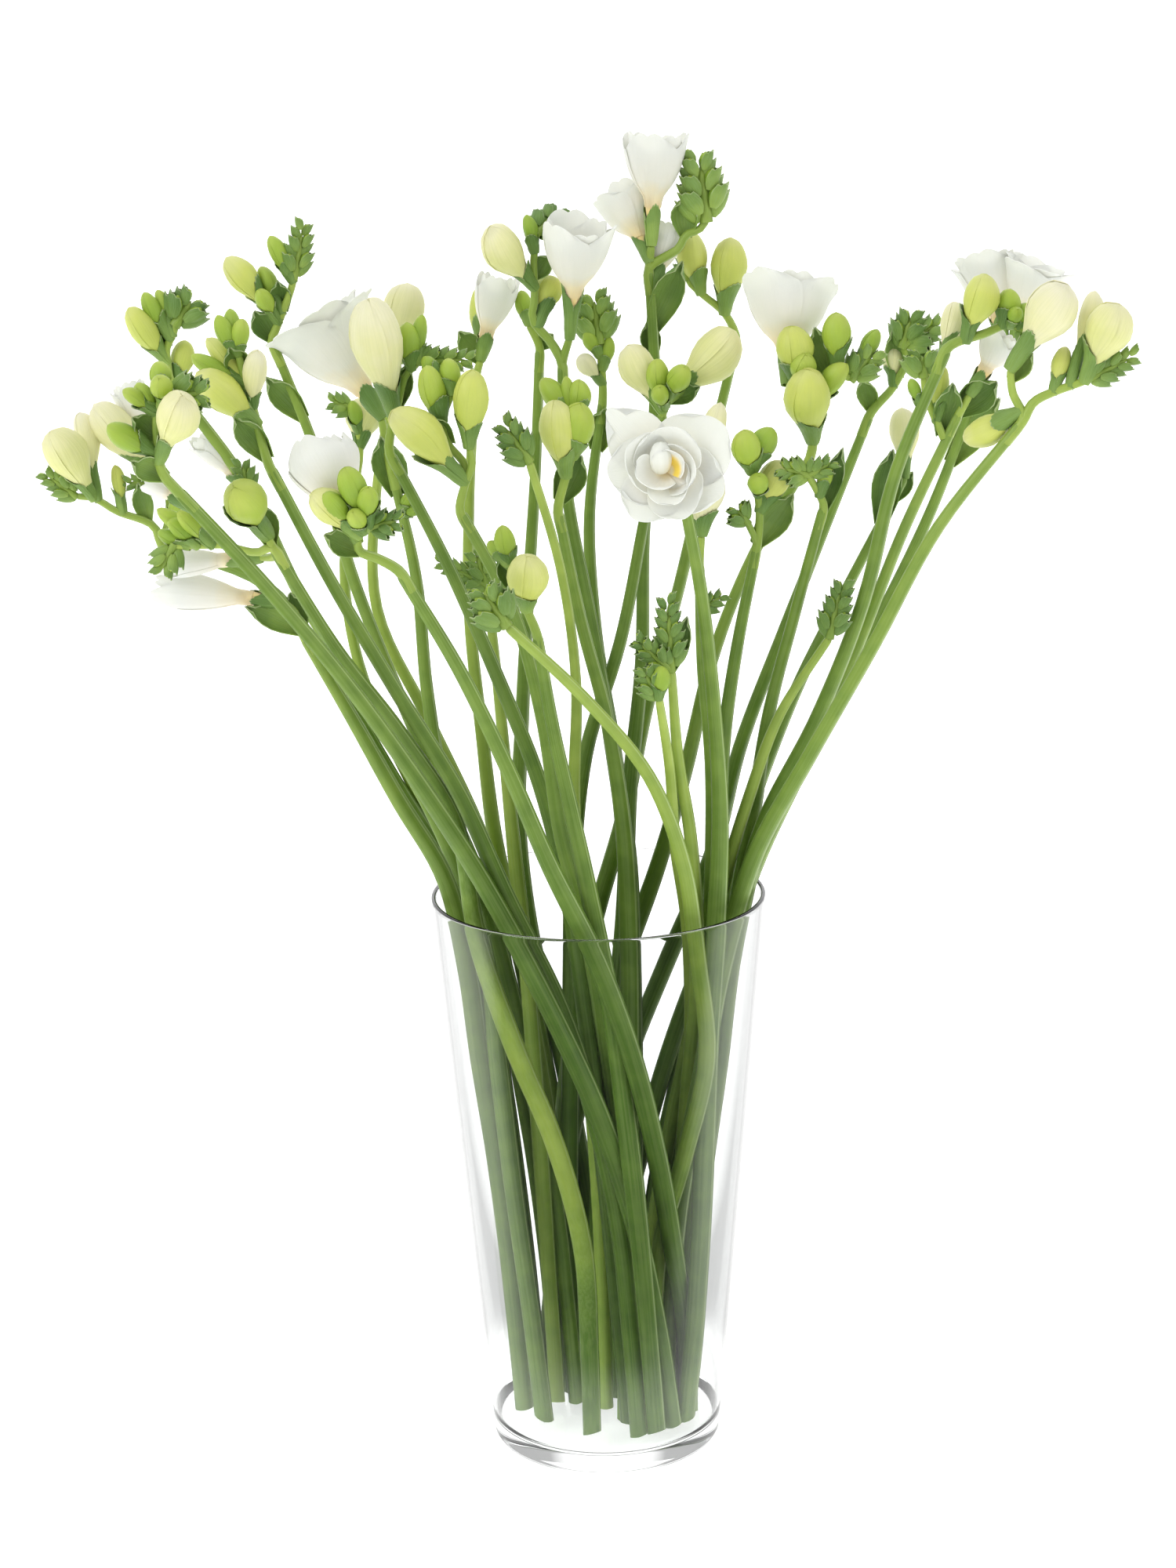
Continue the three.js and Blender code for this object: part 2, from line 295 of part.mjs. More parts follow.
// A closed geometry as a solid for joining and cutting, with its faces pointing out.
function solid(geometry) {
  const bare = geometry.index ? geometry.toNonIndexed() : geometry.clone();
  bare.deleteAttribute('normal');
  bare.deleteAttribute('uv');
  const merged = mergeVertices(bare, 1e-4);
  const positions = merged.attributes.position.array;
  const triangles = [];
  const index = merged.index.array;
  for (let i = 0; i < index.length; i += 3) {
    const [a, b, c] = [index[i], index[i + 1], index[i + 2]];
    if (a !== b && b !== c && c !== a) {
      triangles.push(a, b, c);
    }
  }
  if (enclosedVolume(positions, triangles) < 0) {
    triangles.reverse();
  }
  const mesh = new wasm.Mesh({
    numProp: 3,
    vertProperties: new Float32Array(positions),
    triVerts: new Uint32Array(triangles),
  });
  return new wasm.Manifold(mesh);
}

function geometryOf(body) {
  const mesh = body.getMesh();
  const geometry = new THREE.BufferGeometry();
  geometry.setAttribute('position', new THREE.BufferAttribute(new Float32Array(mesh.vertProperties), 3));
  geometry.setIndex(new THREE.BufferAttribute(new Uint32Array(mesh.triVerts), 1));
  return geometry;
}

// Joins bodies into one, without the loose scraps that grazing faces leave.
function joined(bodies) {
  let sum = bodies[0];
  for (const body of bodies.slice(1)) {
    sum = sum.add(body);
  }
  return sum.decompose().reduce((largest, piece) => (piece.volume() > largest.volume() ? piece : largest));
}

// Turns a geometry made along +Y so that it starts at a place and points along a direction.
function aimed(geometry, start, direction) {
  const turn = new THREE.Quaternion().setFromUnitVectors(UP, direction.clone().normalize());
  return geometry.applyMatrix4(new THREE.Matrix4().compose(start, turn, new THREE.Vector3(1, 1, 1)));
}

// A body turned about +Y from [radius, height] pairs that start and end on the axis.
function turned(profile, sides) {
  return new THREE.LatheGeometry(profile.map(([radius, height]) => new THREE.Vector2(radius, height)), sides);
}

function tube(path, radius, sides, steps) {
  const section = new THREE.Shape();
  for (let i = 0; i < sides; i += 1) {
    const angle = (2 * Math.PI * i) / sides;
    const [x, y] = [radius * Math.cos(angle), radius * Math.sin(angle)];
    if (i === 0) {
      section.moveTo(x, y);
    } else {
      section.lineTo(x, y);
    }
  }
  section.closePath();
  return new THREE.ExtrudeGeometry(section, { steps, extrudePath: path, bevelEnabled: false });
}

// A thin blade from two like sheets of five places: its root, three across its widest part, and its tip.
function blade(front, back) {
  const faces = [];
  for (const [a, b, c] of [[0, 1, 2], [0, 2, 3], [1, 4, 2], [2, 4, 3]]) {
    faces.push(a, b, c, a + 5, c + 5, b + 5);
  }
  const edge = [0, 1, 4, 3];
  edge.forEach((a, i) => {
    const b = edge[(i + 1) % edge.length];
    faces.push(b, a, a + 5, b, a + 5, b + 5);
  });
  const geometry = new THREE.BufferGeometry();
  const numbers = [...front, ...back].flatMap((place) => place.toArray());
  geometry.setAttribute('position', new THREE.Float32BufferAttribute(numbers, 3));
  geometry.setIndex(faces);
  return geometry;
}

// ---------------------------------------------------------------- places
function seen([across, up, depth]) {
  const onPlane = new THREE.Vector3(across, 0, up);
  return EYE.clone().lerp(onPlane, (depth - EYE.y) / -EYE.y);
}

function footPlace([across, depth], half) {
  const place = new THREE.Vector2(EYE.x + ((across - EYE.x) * (depth - EYE.y)) / -EYE.y, depth);
  place.clampLength(0, FLOOR_RADIUS - half);
  return new THREE.Vector3(place.x, place.y, FLOOR - FOOT_TRIM);
}

function insideRadius(height) {
  const low = BASE_RADIUS - WALL - INSIDE_CORNER;
  const high = RIM_RADIUS - WALL - LIP;
  const share = THREE.MathUtils.clamp((height - FLOOR) / (VASE_HEIGHT - FLOOR), 0, 1);
  return low + (high - low) * share;
}

// The place nearest to a given one on any of the lines of a spray.
function nearestOn(lines, place) {
  let best = null;
  const line = new THREE.Line3();
  for (const points of lines) {
    for (let i = 0; i < points.length - 1; i += 1) {
      const spot = line.set(points[i], points[i + 1]).closestPointToPoint(place, true, new THREE.Vector3());
      if (best === null || spot.distanceTo(place) < best.distanceTo(place)) {
        best = spot;
      }
    }
  }
  return best;
}

// ---------------------------------------------------------------- settling the stems among each other
function partPlaces(part, neckDepth) {
  const [, baseAcross, baseUp, tipAcross, tipUp, width, offset, lean] = part;
  const base = seen([baseAcross, baseUp, neckDepth + offset]);
  const tip = seen([tipAcross, tipUp, neckDepth + offset + lean]);
  return [base, tip, width];
}

// The stretches of each kind of spray part that push others away: from and to as shares of its length,
// and the radius as a share of its width plus a fixed amount.
const LIMBS = {
  f: [[0, 0.45, 0, 4.6], [0.5, 0.88, 0.42, 0.5]],
  o: [[0.3, 0.75, 0.4, 0], [0.75, 1.1, 0.46, 0]],
  t: [[0, 0.9, 0.62, 0.4]],
  l: [[0.05, 0.95, 0.42, 0.3]],
  c: [[0, 0.35, 0.36, 1.2], [0.4, 0.8, 0.5, 0]],
};
LIMBS.g = LIMBS.c;
LIMBS.y = LIMBS.c;

function sprayLimbs(spray, neckDepth) {
  const limbs = [];
  for (const part of spray) {
    if (part[0] === 'x') {
      const points = part[2].map(([across, up, depth]) => seen([across, up, neckDepth + depth]));
      for (let i = 0; i < points.length - 1; i += 1) {
        limbs.push({ a: points[i], b: points[i + 1], radius: part[1] });
      }
    } else {
      const [base, tip, width] = partPlaces(part, neckDepth);
      for (const [from, to, share, more] of LIMBS[part[0].toLowerCase()]) {
        limbs.push({ a: base.clone().lerp(tip, from), b: base.clone().lerp(tip, to), radius: share * width + more });
      }
    }
  }
  return limbs;
}

function makeStrand([name, half, foot, places, spray]) {
  const points = [footPlace(foot, half), ...places.map(seen)];
  const path = new THREE.CatmullRomCurve3(points, false, 'centripetal');
  const rest = path.getSpacedPoints(STEM_STEPS);
  const neckDepth = places[places.length - 1][2];
  const nodes = rest.map((place) => place.clone());
  return { name, half, spray, neckDepth, rest, nodes, limbs: sprayLimbs(spray, neckDepth) };
}

// How far the neck of a stem has moved: its spray moves with it as it stands.
function neckShift(strand) {
  const last = strand.rest.length - 1;
  return strand.nodes[last].clone().sub(strand.rest[last]);
}

// Every stretch of a stem and its spray, with the chain places that carry it.
function limbsOf(strand) {
  const limbs = [];
  const last = strand.nodes.length - 1;
  for (let k = 0; k < last; k += 1) {
    limbs.push({ a: strand.nodes[k], b: strand.nodes[k + 1], radius: strand.half, first: k, second: k + 1 });
  }
  const shift = neckShift(strand);
  for (const limb of strand.limbs) {
    const [a, b] = [limb.a.clone().add(shift), limb.b.clone().add(shift)];
    limbs.push({ a, b, radius: limb.radius, first: last, second: last });
  }
  return limbs;
}

// Where two straight stretches come closest, as shares of the one and of the other.
function closestShares(one, two) {
  const along = one.b.clone().sub(one.a);
  const other = two.b.clone().sub(two.a);
  const between = one.a.clone().sub(two.a);
  const a = Math.max(along.lengthSq(), TINY);
  const e = Math.max(other.lengthSq(), TINY);
  const b = along.dot(other);
  const c = along.dot(between);
  const f = other.dot(between);
  const skew = a * e - b * b;
  const s = skew > TINY ? THREE.MathUtils.clamp((b * f - c * e) / skew, 0, 1) : 0;
  const t = (b * s + f) / e;
  if (t < 0) {
    return [THREE.MathUtils.clamp(-c / a, 0, 1), 0];
  }
  if (t > 1) {
    return [THREE.MathUtils.clamp((b - c) / a, 0, 1), 1];
  }
  return [s, t];
}

function apartAt(one, two, s, t) {
  return one.a.clone().lerp(one.b, s).sub(two.a.clone().lerp(two.b, t));
}

// The pairs of stretches of different stems that may come to touch within a few rounds.
function nearPairs(all) {
  const pairs = [];
  for (let i = 0; i < all.length; i += 1) {
    for (let j = i + 1; j < all.length; j += 1) {
      for (let a = 0; a < all[i].length; a += 1) {
        for (let b = 0; b < all[j].length; b += 1) {
          const [one, two] = [all[i][a], all[j][b]];
          const distance = apartAt(one, two, ...closestShares(one, two)).length();
          if (distance < one.radius + two.radius + WATCHED) {
            pairs.push([i, a, j, b]);
          }
        }
      }
    }
  }
  return pairs;
}

// Moves the stems apart a little at a time, mostly in depth, until none of them or their sprays cross.
function settle(strands) {
  let pairs = [];
  for (let round = 0; round < SETTLE_ROUNDS; round += 1) {
    const all = strands.map(limbsOf);
    if (round % WATCH_ROUNDS === 0) {
      pairs = nearPairs(all);
    }
    const pushes = strands.map((strand) => strand.nodes.map(() => new THREE.Vector3()));
    for (const [i, a, j, b] of pairs) {
      const [one, two] = [all[i][a], all[j][b]];
      const [s, t] = closestShares(one, two);
      const apart = apartAt(one, two, s, t);
      const distance = Math.max(apart.length(), TINY);
      const need = one.radius + two.radius + SETTLE_GAP - distance;
      if (need > 0) {
        apart.divideScalar(distance);
        const order = strands[i].neckDepth < strands[j].neckDepth ? -1 : 1;
        const side = Math.abs(apart.y) > LEVEL ? Math.sign(apart.y) : order;
        const depthPush = side * Math.max(Math.abs(apart.y), LEAST_DEPTH_SHARE);
        const push = new THREE.Vector3(apart.x * SIDEWAYS_SHARE, depthPush, apart.z * UPRIGHT_SHARE);
        push.multiplyScalar(need / 2);
        pushes[i][one.first].addScaledVector(push, 1 - s);
        pushes[i][one.second].addScaledVector(push, s);
        pushes[j][two.first].addScaledVector(push, t - 1);
        pushes[j][two.second].addScaledVector(push, -t);
      }
    }
    strands.forEach((strand, i) => moveStrand(strand, pushes[i]));
  }
}

function moveStrand(strand, pushes) {
  const last = strand.nodes.length - 1;
  const moves = strand.nodes.map((node, k) => {
    const push = pushes[k].clampLength(0, LARGEST_PUSH);
    return node.clone().sub(strand.rest[k]).add(push);
  });
  moves.forEach((move, k) => {
    const middle = moves[Math.max(k - 1, 0)].clone().lerp(moves[Math.min(k + 1, last)], 0.5);
    strand.nodes[k].copy(move).lerp(middle, SMOOTHING).add(strand.rest[k]);
  });
  strand.nodes[0].z = strand.rest[0].z;
  keepInside(strand);
}

// The stems stay inside the vase's wall, and cross the rim inside it.
function keepInside(strand) {
  strand.nodes.forEach((node, k) => {
    if (node.z < VASE_HEIGHT) {
      const limit = k === 0 ? FLOOR_RADIUS - strand.half : insideRadius(node.z) - strand.half - WALL_CLEARANCE;
      const radius = Math.hypot(node.x, node.y);
      const share = Math.min(1, limit / radius);
      node.x *= share;
      node.y *= share;
    }
  });
  for (let k = 0; k < strand.nodes.length - 1; k += 1) {
    const [low, high] = [strand.nodes[k], strand.nodes[k + 1]];
    if (low.z < VASE_HEIGHT && high.z >= VASE_HEIGHT) {
      const crossing = low.clone().lerp(high, (VASE_HEIGHT - low.z) / (high.z - low.z)).setZ(0);
      const limit = insideRadius(VASE_HEIGHT) - strand.half - RIM_CLEARANCE;
      const excess = Math.max(crossing.length() - limit, 0);
      const pull = crossing.setLength(excess);
      low.sub(pull);
      high.sub(pull);
    }
  }
}

// ---------------------------------------------------------------- parts of a spray
// Each part grows from its root on the axis. Its own length is what lies past its base.

// Pulls every second place of a ring at the given height back, so that its edge is cut into teeth.
function cutTeeth(geometry, rimHeight, depth, sides) {
  const position = geometry.attributes.position;
  for (let i = 0; i < position.count; i += 1) {
    const turn = Math.atan2(position.getX(i), position.getZ(i)) / (2 * Math.PI);
    const segment = Math.round(turn * sides + sides);
    if (Math.abs(position.getY(i) - rimHeight) < 0.01 && segment % 2 === 1) {
      position.setY(i, rimHeight - depth);
    }
  }
  return geometry;
}

// A closed bud in its pair of toothed bracts, in one turned body. A small one has no step at their rim.
function budGeometry(stalk, length, width) {
  const large = width >= LARGE_WIDTH;
  const sides = large ? BRACT_SIDES : 4;
  const rim = stalk + 0.32 * length;
  const profile = [[0, -ROOT_DEPTH], [width * 0.3 + 1.1, rim], [width / 2, stalk + 0.6 * length], [0, stalk + length]];
  if (large) {
    profile.splice(2, 0, [width * 0.3, rim - 0.4]);
    profile.splice(4, 0, [width * 0.34, stalk + 0.87 * length]);
  }
  return cutTeeth(turned(profile, sides), rim, 0.14 * length, sides);
}

// The directions of a flat part: along it, across it, and out towards the eye.
function flatFrame(root, tip) {
  const along = tip.clone().sub(root).normalize();
  const sight = root.clone().sub(EYE).normalize();
  const side = along.clone().cross(sight).normalize();
  const out = side.clone().cross(along).normalize();
  return { along, side, out };
}

// A bract leaf: a pointed blade, cupped towards its stem, with sharp edges and a thick middle.
function leafGeometry(root, tip, width) {
  const { along, side, out } = flatFrame(root, tip);
  const length = root.distanceTo(tip);
  const blank = turned([[0, -ROOT_DEPTH], [0.5, 0.5 * length], [0, length]], 4);
  const position = blank.attributes.position;
  for (let k = 0; k < position.count; k += 1) {
    const [across, height, thick] = [position.getX(k), position.getY(k), position.getZ(k)];
    const place = root.clone().addScaledVector(along, height).addScaledVector(side, across * width)
      .addScaledVector(out, thick * 2 * LEAF_THICKNESS - CUPPING * width * across * across);
    position.setXYZ(k, place.x, place.y, place.z);
  }
  return blank;
}

// The tip of a spray: small pointed scales in two rows, each standing out of the one below, in one turned body.
function tipGeometry(length, width) {
  const count = THREE.MathUtils.clamp(Math.round(length / SCALE_PITCH), 3, 4);
  const profile = [[0, -ROOT_DEPTH]];
  for (let i = 0; i < count; i += 1) {
    const size = (width / 2) * (1 - (0.6 * i) / count);
    profile.push([size, ((i + 0.85) * length) / (count + 0.6)], [size * 0.45, ((i + 0.7) * length) / (count + 0.6)]);
  }
  profile.push([0, length]);
  const geometry = turned(profile, 4);
  const position = geometry.attributes.position;
  for (let k = 0; k < position.count; k += 1) {
    const ring = k % profile.length;
    const scale = Math.ceil(ring / 2);
    if (ring > 0 && ring < profile.length - 1) {
      const lean = scale % 2 ? 1 : -1;
      position.setX(k, position.getX(k) + lean * profile[2 * scale - 1][0] * 0.35);
      position.setY(k, position.getY(k) + lean * position.getX(k) * 0.3);
    }
  }
  return geometry;
}

// One petal of a flower that stands along +Y: its root, its widest place and its tip.
function petalGeometry(angle, [rootHeight, rootRadius], [height, radius, half], [tipHeight, tipRadius]) {
  const place = (turn, radius, height) => new THREE.Vector3(radius * Math.sin(turn), height, radius * Math.cos(turn));
  const sheet = (inward) => [
    place(angle, rootRadius - inward, rootHeight),
    ...[-half, 0, half].map((more) => place(angle + more, radius - inward, height)),
    place(angle, tipRadius - inward, tipHeight),
  ];
  return blade(sheet(0), sheet(PETAL_THICKNESS));
}

// Whorls of a funnel flower and of a double one: petals, turn, then root [share of the length, radius],
// widest part [share of the length, share of half the width, half angle] and tip [the same two shares].
const FUNNEL = [
  [3, 0, [0.4, 3.6], [0.7, 0.76, 0.95], [0.96, 1]],
  [3, 0.5, [0.4, 2.2], [0.74, 0.52, 0.9], [1, 0.76]],
];
const DOUBLE = [
  [3, 0, [0.3, 3.6], [0.7, 0.66, 0.9], [0.82, 1]],
  [3, 0.5, [0.35, 3.4], [0.95, 0.5, 0.95], [1.05, 0.86]],
  [3, 0.2, [0.4, 2.2], [1.15, 0.3, 0.9], [1.35, 0.5]],
];

// How wide a flower's tube is at a share of the flower's length.
function tubeRadius(width, share) {
  return TUBE_RADIUS + (0.2 + 0.14 * width) * (share / TUBE_SHARE);
}

// A flower with its foot at the given height, its petals rooted in a solid tube.
function flowerBody(kind, foot, length, width) {
  const top = foot + TUBE_SHARE * length;
  const tubeProfile = [[0, foot], [TUBE_RADIUS, foot], [tubeRadius(width, TUBE_SHARE), top], [0, top + 1]];
  const bodies = [solid(turned(tubeProfile, BRACT_SIDES))];
  for (const [count, turn, root, middle, tip] of kind === 'o' ? DOUBLE : FUNNEL) {
    for (let i = 0; i < count; i += 1) {
      const angle = ((i + turn) * 2 * Math.PI) / count;
      const widest = [foot + middle[0] * length, (middle[1] * width) / 2, middle[2]];
      const end = [foot + tip[0] * length, (tip[1] * width) / 2];
      bodies.push(solid(petalGeometry(angle, [foot + root[0] * length, root[1]], widest, end)));
    }
  }
  return joined(bodies);
}

// A bloom that is a piece of its own: an open flower or a large cream bud.
function bloomBody(kind, foot, length, width) {
  if (kind === 'c') {
    const profile = [[0, foot], [TUBE_RADIUS, foot], [width * 0.36, foot + 0.25 * length],
      [width / 2, foot + 0.57 * length], [width * 0.35, foot + 0.87 * length], [0, foot + length]];
    return solid(turned(profile, BRACT_SIDES));
  }
  return flowerBody(kind, foot, length, width);
}

// The open bract cup that a bloom stands in. A bloom of its own keeps a clearance to it all round.
function cupGeometry(kind, stalk, length, width) {
  const height = Math.min(length * 0.25, 10);
  const rim = stalk + height;
  const inner = (kind === 'c' ? width * 0.36 : tubeRadius(width, height / length)) + 0.8;
  const profile = [[0, -ROOT_DEPTH], [TUBE_RADIUS + 1, stalk - 0.5], [inner + 0.9, rim], [inner, rim],
    [TUBE_RADIUS + 0.9, stalk], [0, stalk]];
  return cutTeeth(turned(profile, BRACT_SIDES), rim, 0.3 * height, BRACT_SIDES);
}

// ---------------------------------------------------------------- the whole stem with its spray
function namedMesh(name, body, colour, roughness) {
  const material = new THREE.MeshStandardMaterial({ color: colour, roughness, metalness: 0 });
  const mesh = new THREE.Mesh(geometryOf(body), material);
  mesh.name = name;
  return mesh;
}

function stemMeshes(strand) {
  const shift = neckShift(strand);
  const path = new THREE.CatmullRomCurve3(strand.nodes, false, 'centripetal');
  const bodies = [solid(tube(path, strand.half, STEM_SIDES, STEM_STEPS))];
  const lines = [path.getSpacedPoints(STEM_STEPS)];
  const blooms = [];
  for (const [, half, places] of strand.spray.filter(([kind]) => kind === 'x')) {
    const points = places.map(([across, up, depth]) => seen([across, up, strand.neckDepth + depth]).add(shift));
    const axis = new THREE.CatmullRomCurve3(points, false, 'centripetal');
    const steps = Math.min(points.length - 1, AXIS_STEPS);
    lines.push(axis.getSpacedPoints(steps));
    bodies.push(solid(tube(axis, half, AXIS_SIDES, steps)));
  }
  for (const part of strand.spray.filter(([kind]) => kind !== 'x')) {
    const [base, tip, width] = partPlaces(part, strand.neckDepth);
    base.add(shift);
    tip.add(shift);
    const root = nearestOn(lines, base);
    const direction = tip.clone().sub(root);
    const length = base.distanceTo(tip);
    const stalk = Math.max(direction.length() - length, LEAST_STALK);
    const kind = part[0].toLowerCase();
    const place = (body) => solid(aimed(geometryOf(body), root, direction));
    if (kind === 't') {
      bodies.push(solid(aimed(tipGeometry(direction.length(), width), root, direction)));
    } else if (kind === 'l') {
      bodies.push(solid(leafGeometry(root, tip, width)));
    } else if (kind !== part[0]) {
      bodies.push(solid(aimed(cupGeometry(kind, stalk, length, width), root, direction)));
      blooms.push(place(bloomBody(kind, stalk + GAP, length, width)));
    } else if (kind === 'f') {
      bodies.push(solid(aimed(cupGeometry(kind, stalk, length, width), root, direction)));
      bodies.push(place(flowerBody(kind, stalk - 0.2, length, width)));
    } else {
      bodies.push(solid(aimed(budGeometry(stalk, length, width), root, direction)));
    }
  }
  const under = new THREE.BoxGeometry(3 * RIM_RADIUS, 3 * RIM_RADIUS, 2 * FLOOR).translate(0, 0, GAP);
  const stem = joined(bodies).subtract(solid(under));
  const meshes = [namedMesh(strand.name, stem, COLOURS.stem, 0.55)];
  blooms.forEach((bloom, i) => {
    const name = `${strand.name.replace('stem', 'bloom')}_${'ab'[i]}`;
    meshes.push(namedMesh(name, bloom, COLOURS.white, 0.5));
  });
  return meshes;
}

// ---------------------------------------------------------------- the vase
function vaseGeometry() {
  const insideFoot = BASE_RADIUS - WALL - INSIDE_CORNER + 0.3;
  const profile = [
    [0, 0],
    [BASE_RADIUS - FOOT_CORNER, 0],
    [BASE_RADIUS, FOOT_CORNER],
    [RIM_RADIUS, VASE_HEIGHT - 1.2],
    [RIM_RADIUS - 1.3, VASE_HEIGHT],
    [RIM_RADIUS - WALL - LIP, VASE_HEIGHT - 1.4],
    [insideFoot, FLOOR + 5],
    [FLOOR_RADIUS + 1, FLOOR],
    [0, FLOOR],
  ];
  return turned(profile, VASE_SIDES).rotateX(Math.PI / 2);
}

const strands = STEMS.map(makeStrand);
settle(strands);

const freesias = new THREE.Group();
freesias.add(namedMesh('vase', solid(vaseGeometry()), COLOURS.glass, 0.05));
for (const strand of strands) {
  freesias.add(...stemMeshes(strand));
}

export default freesias;
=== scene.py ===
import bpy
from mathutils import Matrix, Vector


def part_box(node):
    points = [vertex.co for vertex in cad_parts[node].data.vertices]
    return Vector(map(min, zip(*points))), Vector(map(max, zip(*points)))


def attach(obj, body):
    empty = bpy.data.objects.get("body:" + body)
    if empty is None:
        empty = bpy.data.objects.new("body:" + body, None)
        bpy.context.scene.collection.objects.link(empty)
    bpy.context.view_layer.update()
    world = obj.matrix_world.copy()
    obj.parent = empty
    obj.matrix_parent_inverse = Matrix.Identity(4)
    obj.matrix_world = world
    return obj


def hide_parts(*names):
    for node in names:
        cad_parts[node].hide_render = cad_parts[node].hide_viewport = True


bl_info = {
    "name": "Freesia bouquet in a glass vase",
    "version": (1, 0, 0),
    "blender": (4, 5, 0),
    "location": "View3D > Sidebar > Bouquet",
    "description": "Builds cut white freesias, stem by stem, in a conical clear glass vase",
    "category": "Object",
}

import math
import random

import bpy
import numpy as np
from bpy.props import FloatProperty, FloatVectorProperty, PointerProperty
from bpy.types import Operator, Panel, PropertyGroup
from mathutils import Matrix, Vector

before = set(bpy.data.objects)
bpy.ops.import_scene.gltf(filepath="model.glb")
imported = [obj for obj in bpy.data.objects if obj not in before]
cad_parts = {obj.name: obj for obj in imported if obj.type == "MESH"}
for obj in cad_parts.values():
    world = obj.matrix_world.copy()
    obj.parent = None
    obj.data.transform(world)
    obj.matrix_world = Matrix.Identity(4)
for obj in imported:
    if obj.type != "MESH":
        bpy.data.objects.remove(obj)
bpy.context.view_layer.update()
VASE_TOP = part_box("vase")[1]

# ---- setting out, in millimetres
MM = 0.001
TAU = 2 * math.pi
TINY = 1e-9

# The vase, and how thick its turned glass is as a share of the plain wall.
VASE_HEIGHT = 230.0
RIM_RADIUS = 66.0
BASE_RADIUS = 46.5
WALL = 2.6
GLASS_SHARE = 0.7
FLOOR = 8.0
INSIDE_CORNER = 1.0
LIP = 0.5

# Where the stems stand on its floor, and how far above the plain cut each is cut at a slant.
FLOOR_RADIUS = 38.5
FOOT_TRIM = 2.0
FOOT_CUT = 8.3
LEAST_CUT, MOST_CUT = 2.0, 4.0
LARGEST_SLANT = 0.4

# The viewer's eye, along whose lines of sight depths are counted, and the camera that stands there.
EYE = np.array((-3.3, -1131.0, 560.0))
CAMERA_PLACE = (-3.32, -1131.4, 559.7)

# How the stems are moved apart: rounds, the gap they keep, and how freely they move each way.
STEM_STEPS = 9
SETTLE_ROUNDS = 260
SETTLE_GAP = 1.1
SIDEWAYS_SHARE = 0.3
UPRIGHT_SHARE = 0.15
LEAST_DEPTH_SHARE = 0.3
LEVEL = 0.02
SMOOTHING = 0.12
LARGEST_PUSH = 2.5
WATCHED = 14.0
WATCH_ROUNDS = 20
WALL_CLEARANCE = 0.6
RIM_CLEARANCE = 1.0

# The shortest stalk of a bud, and how near the neck an axis starts that grows on from the stem.
LEAST_STALK = 1.0
NECK_REACH = 3.0

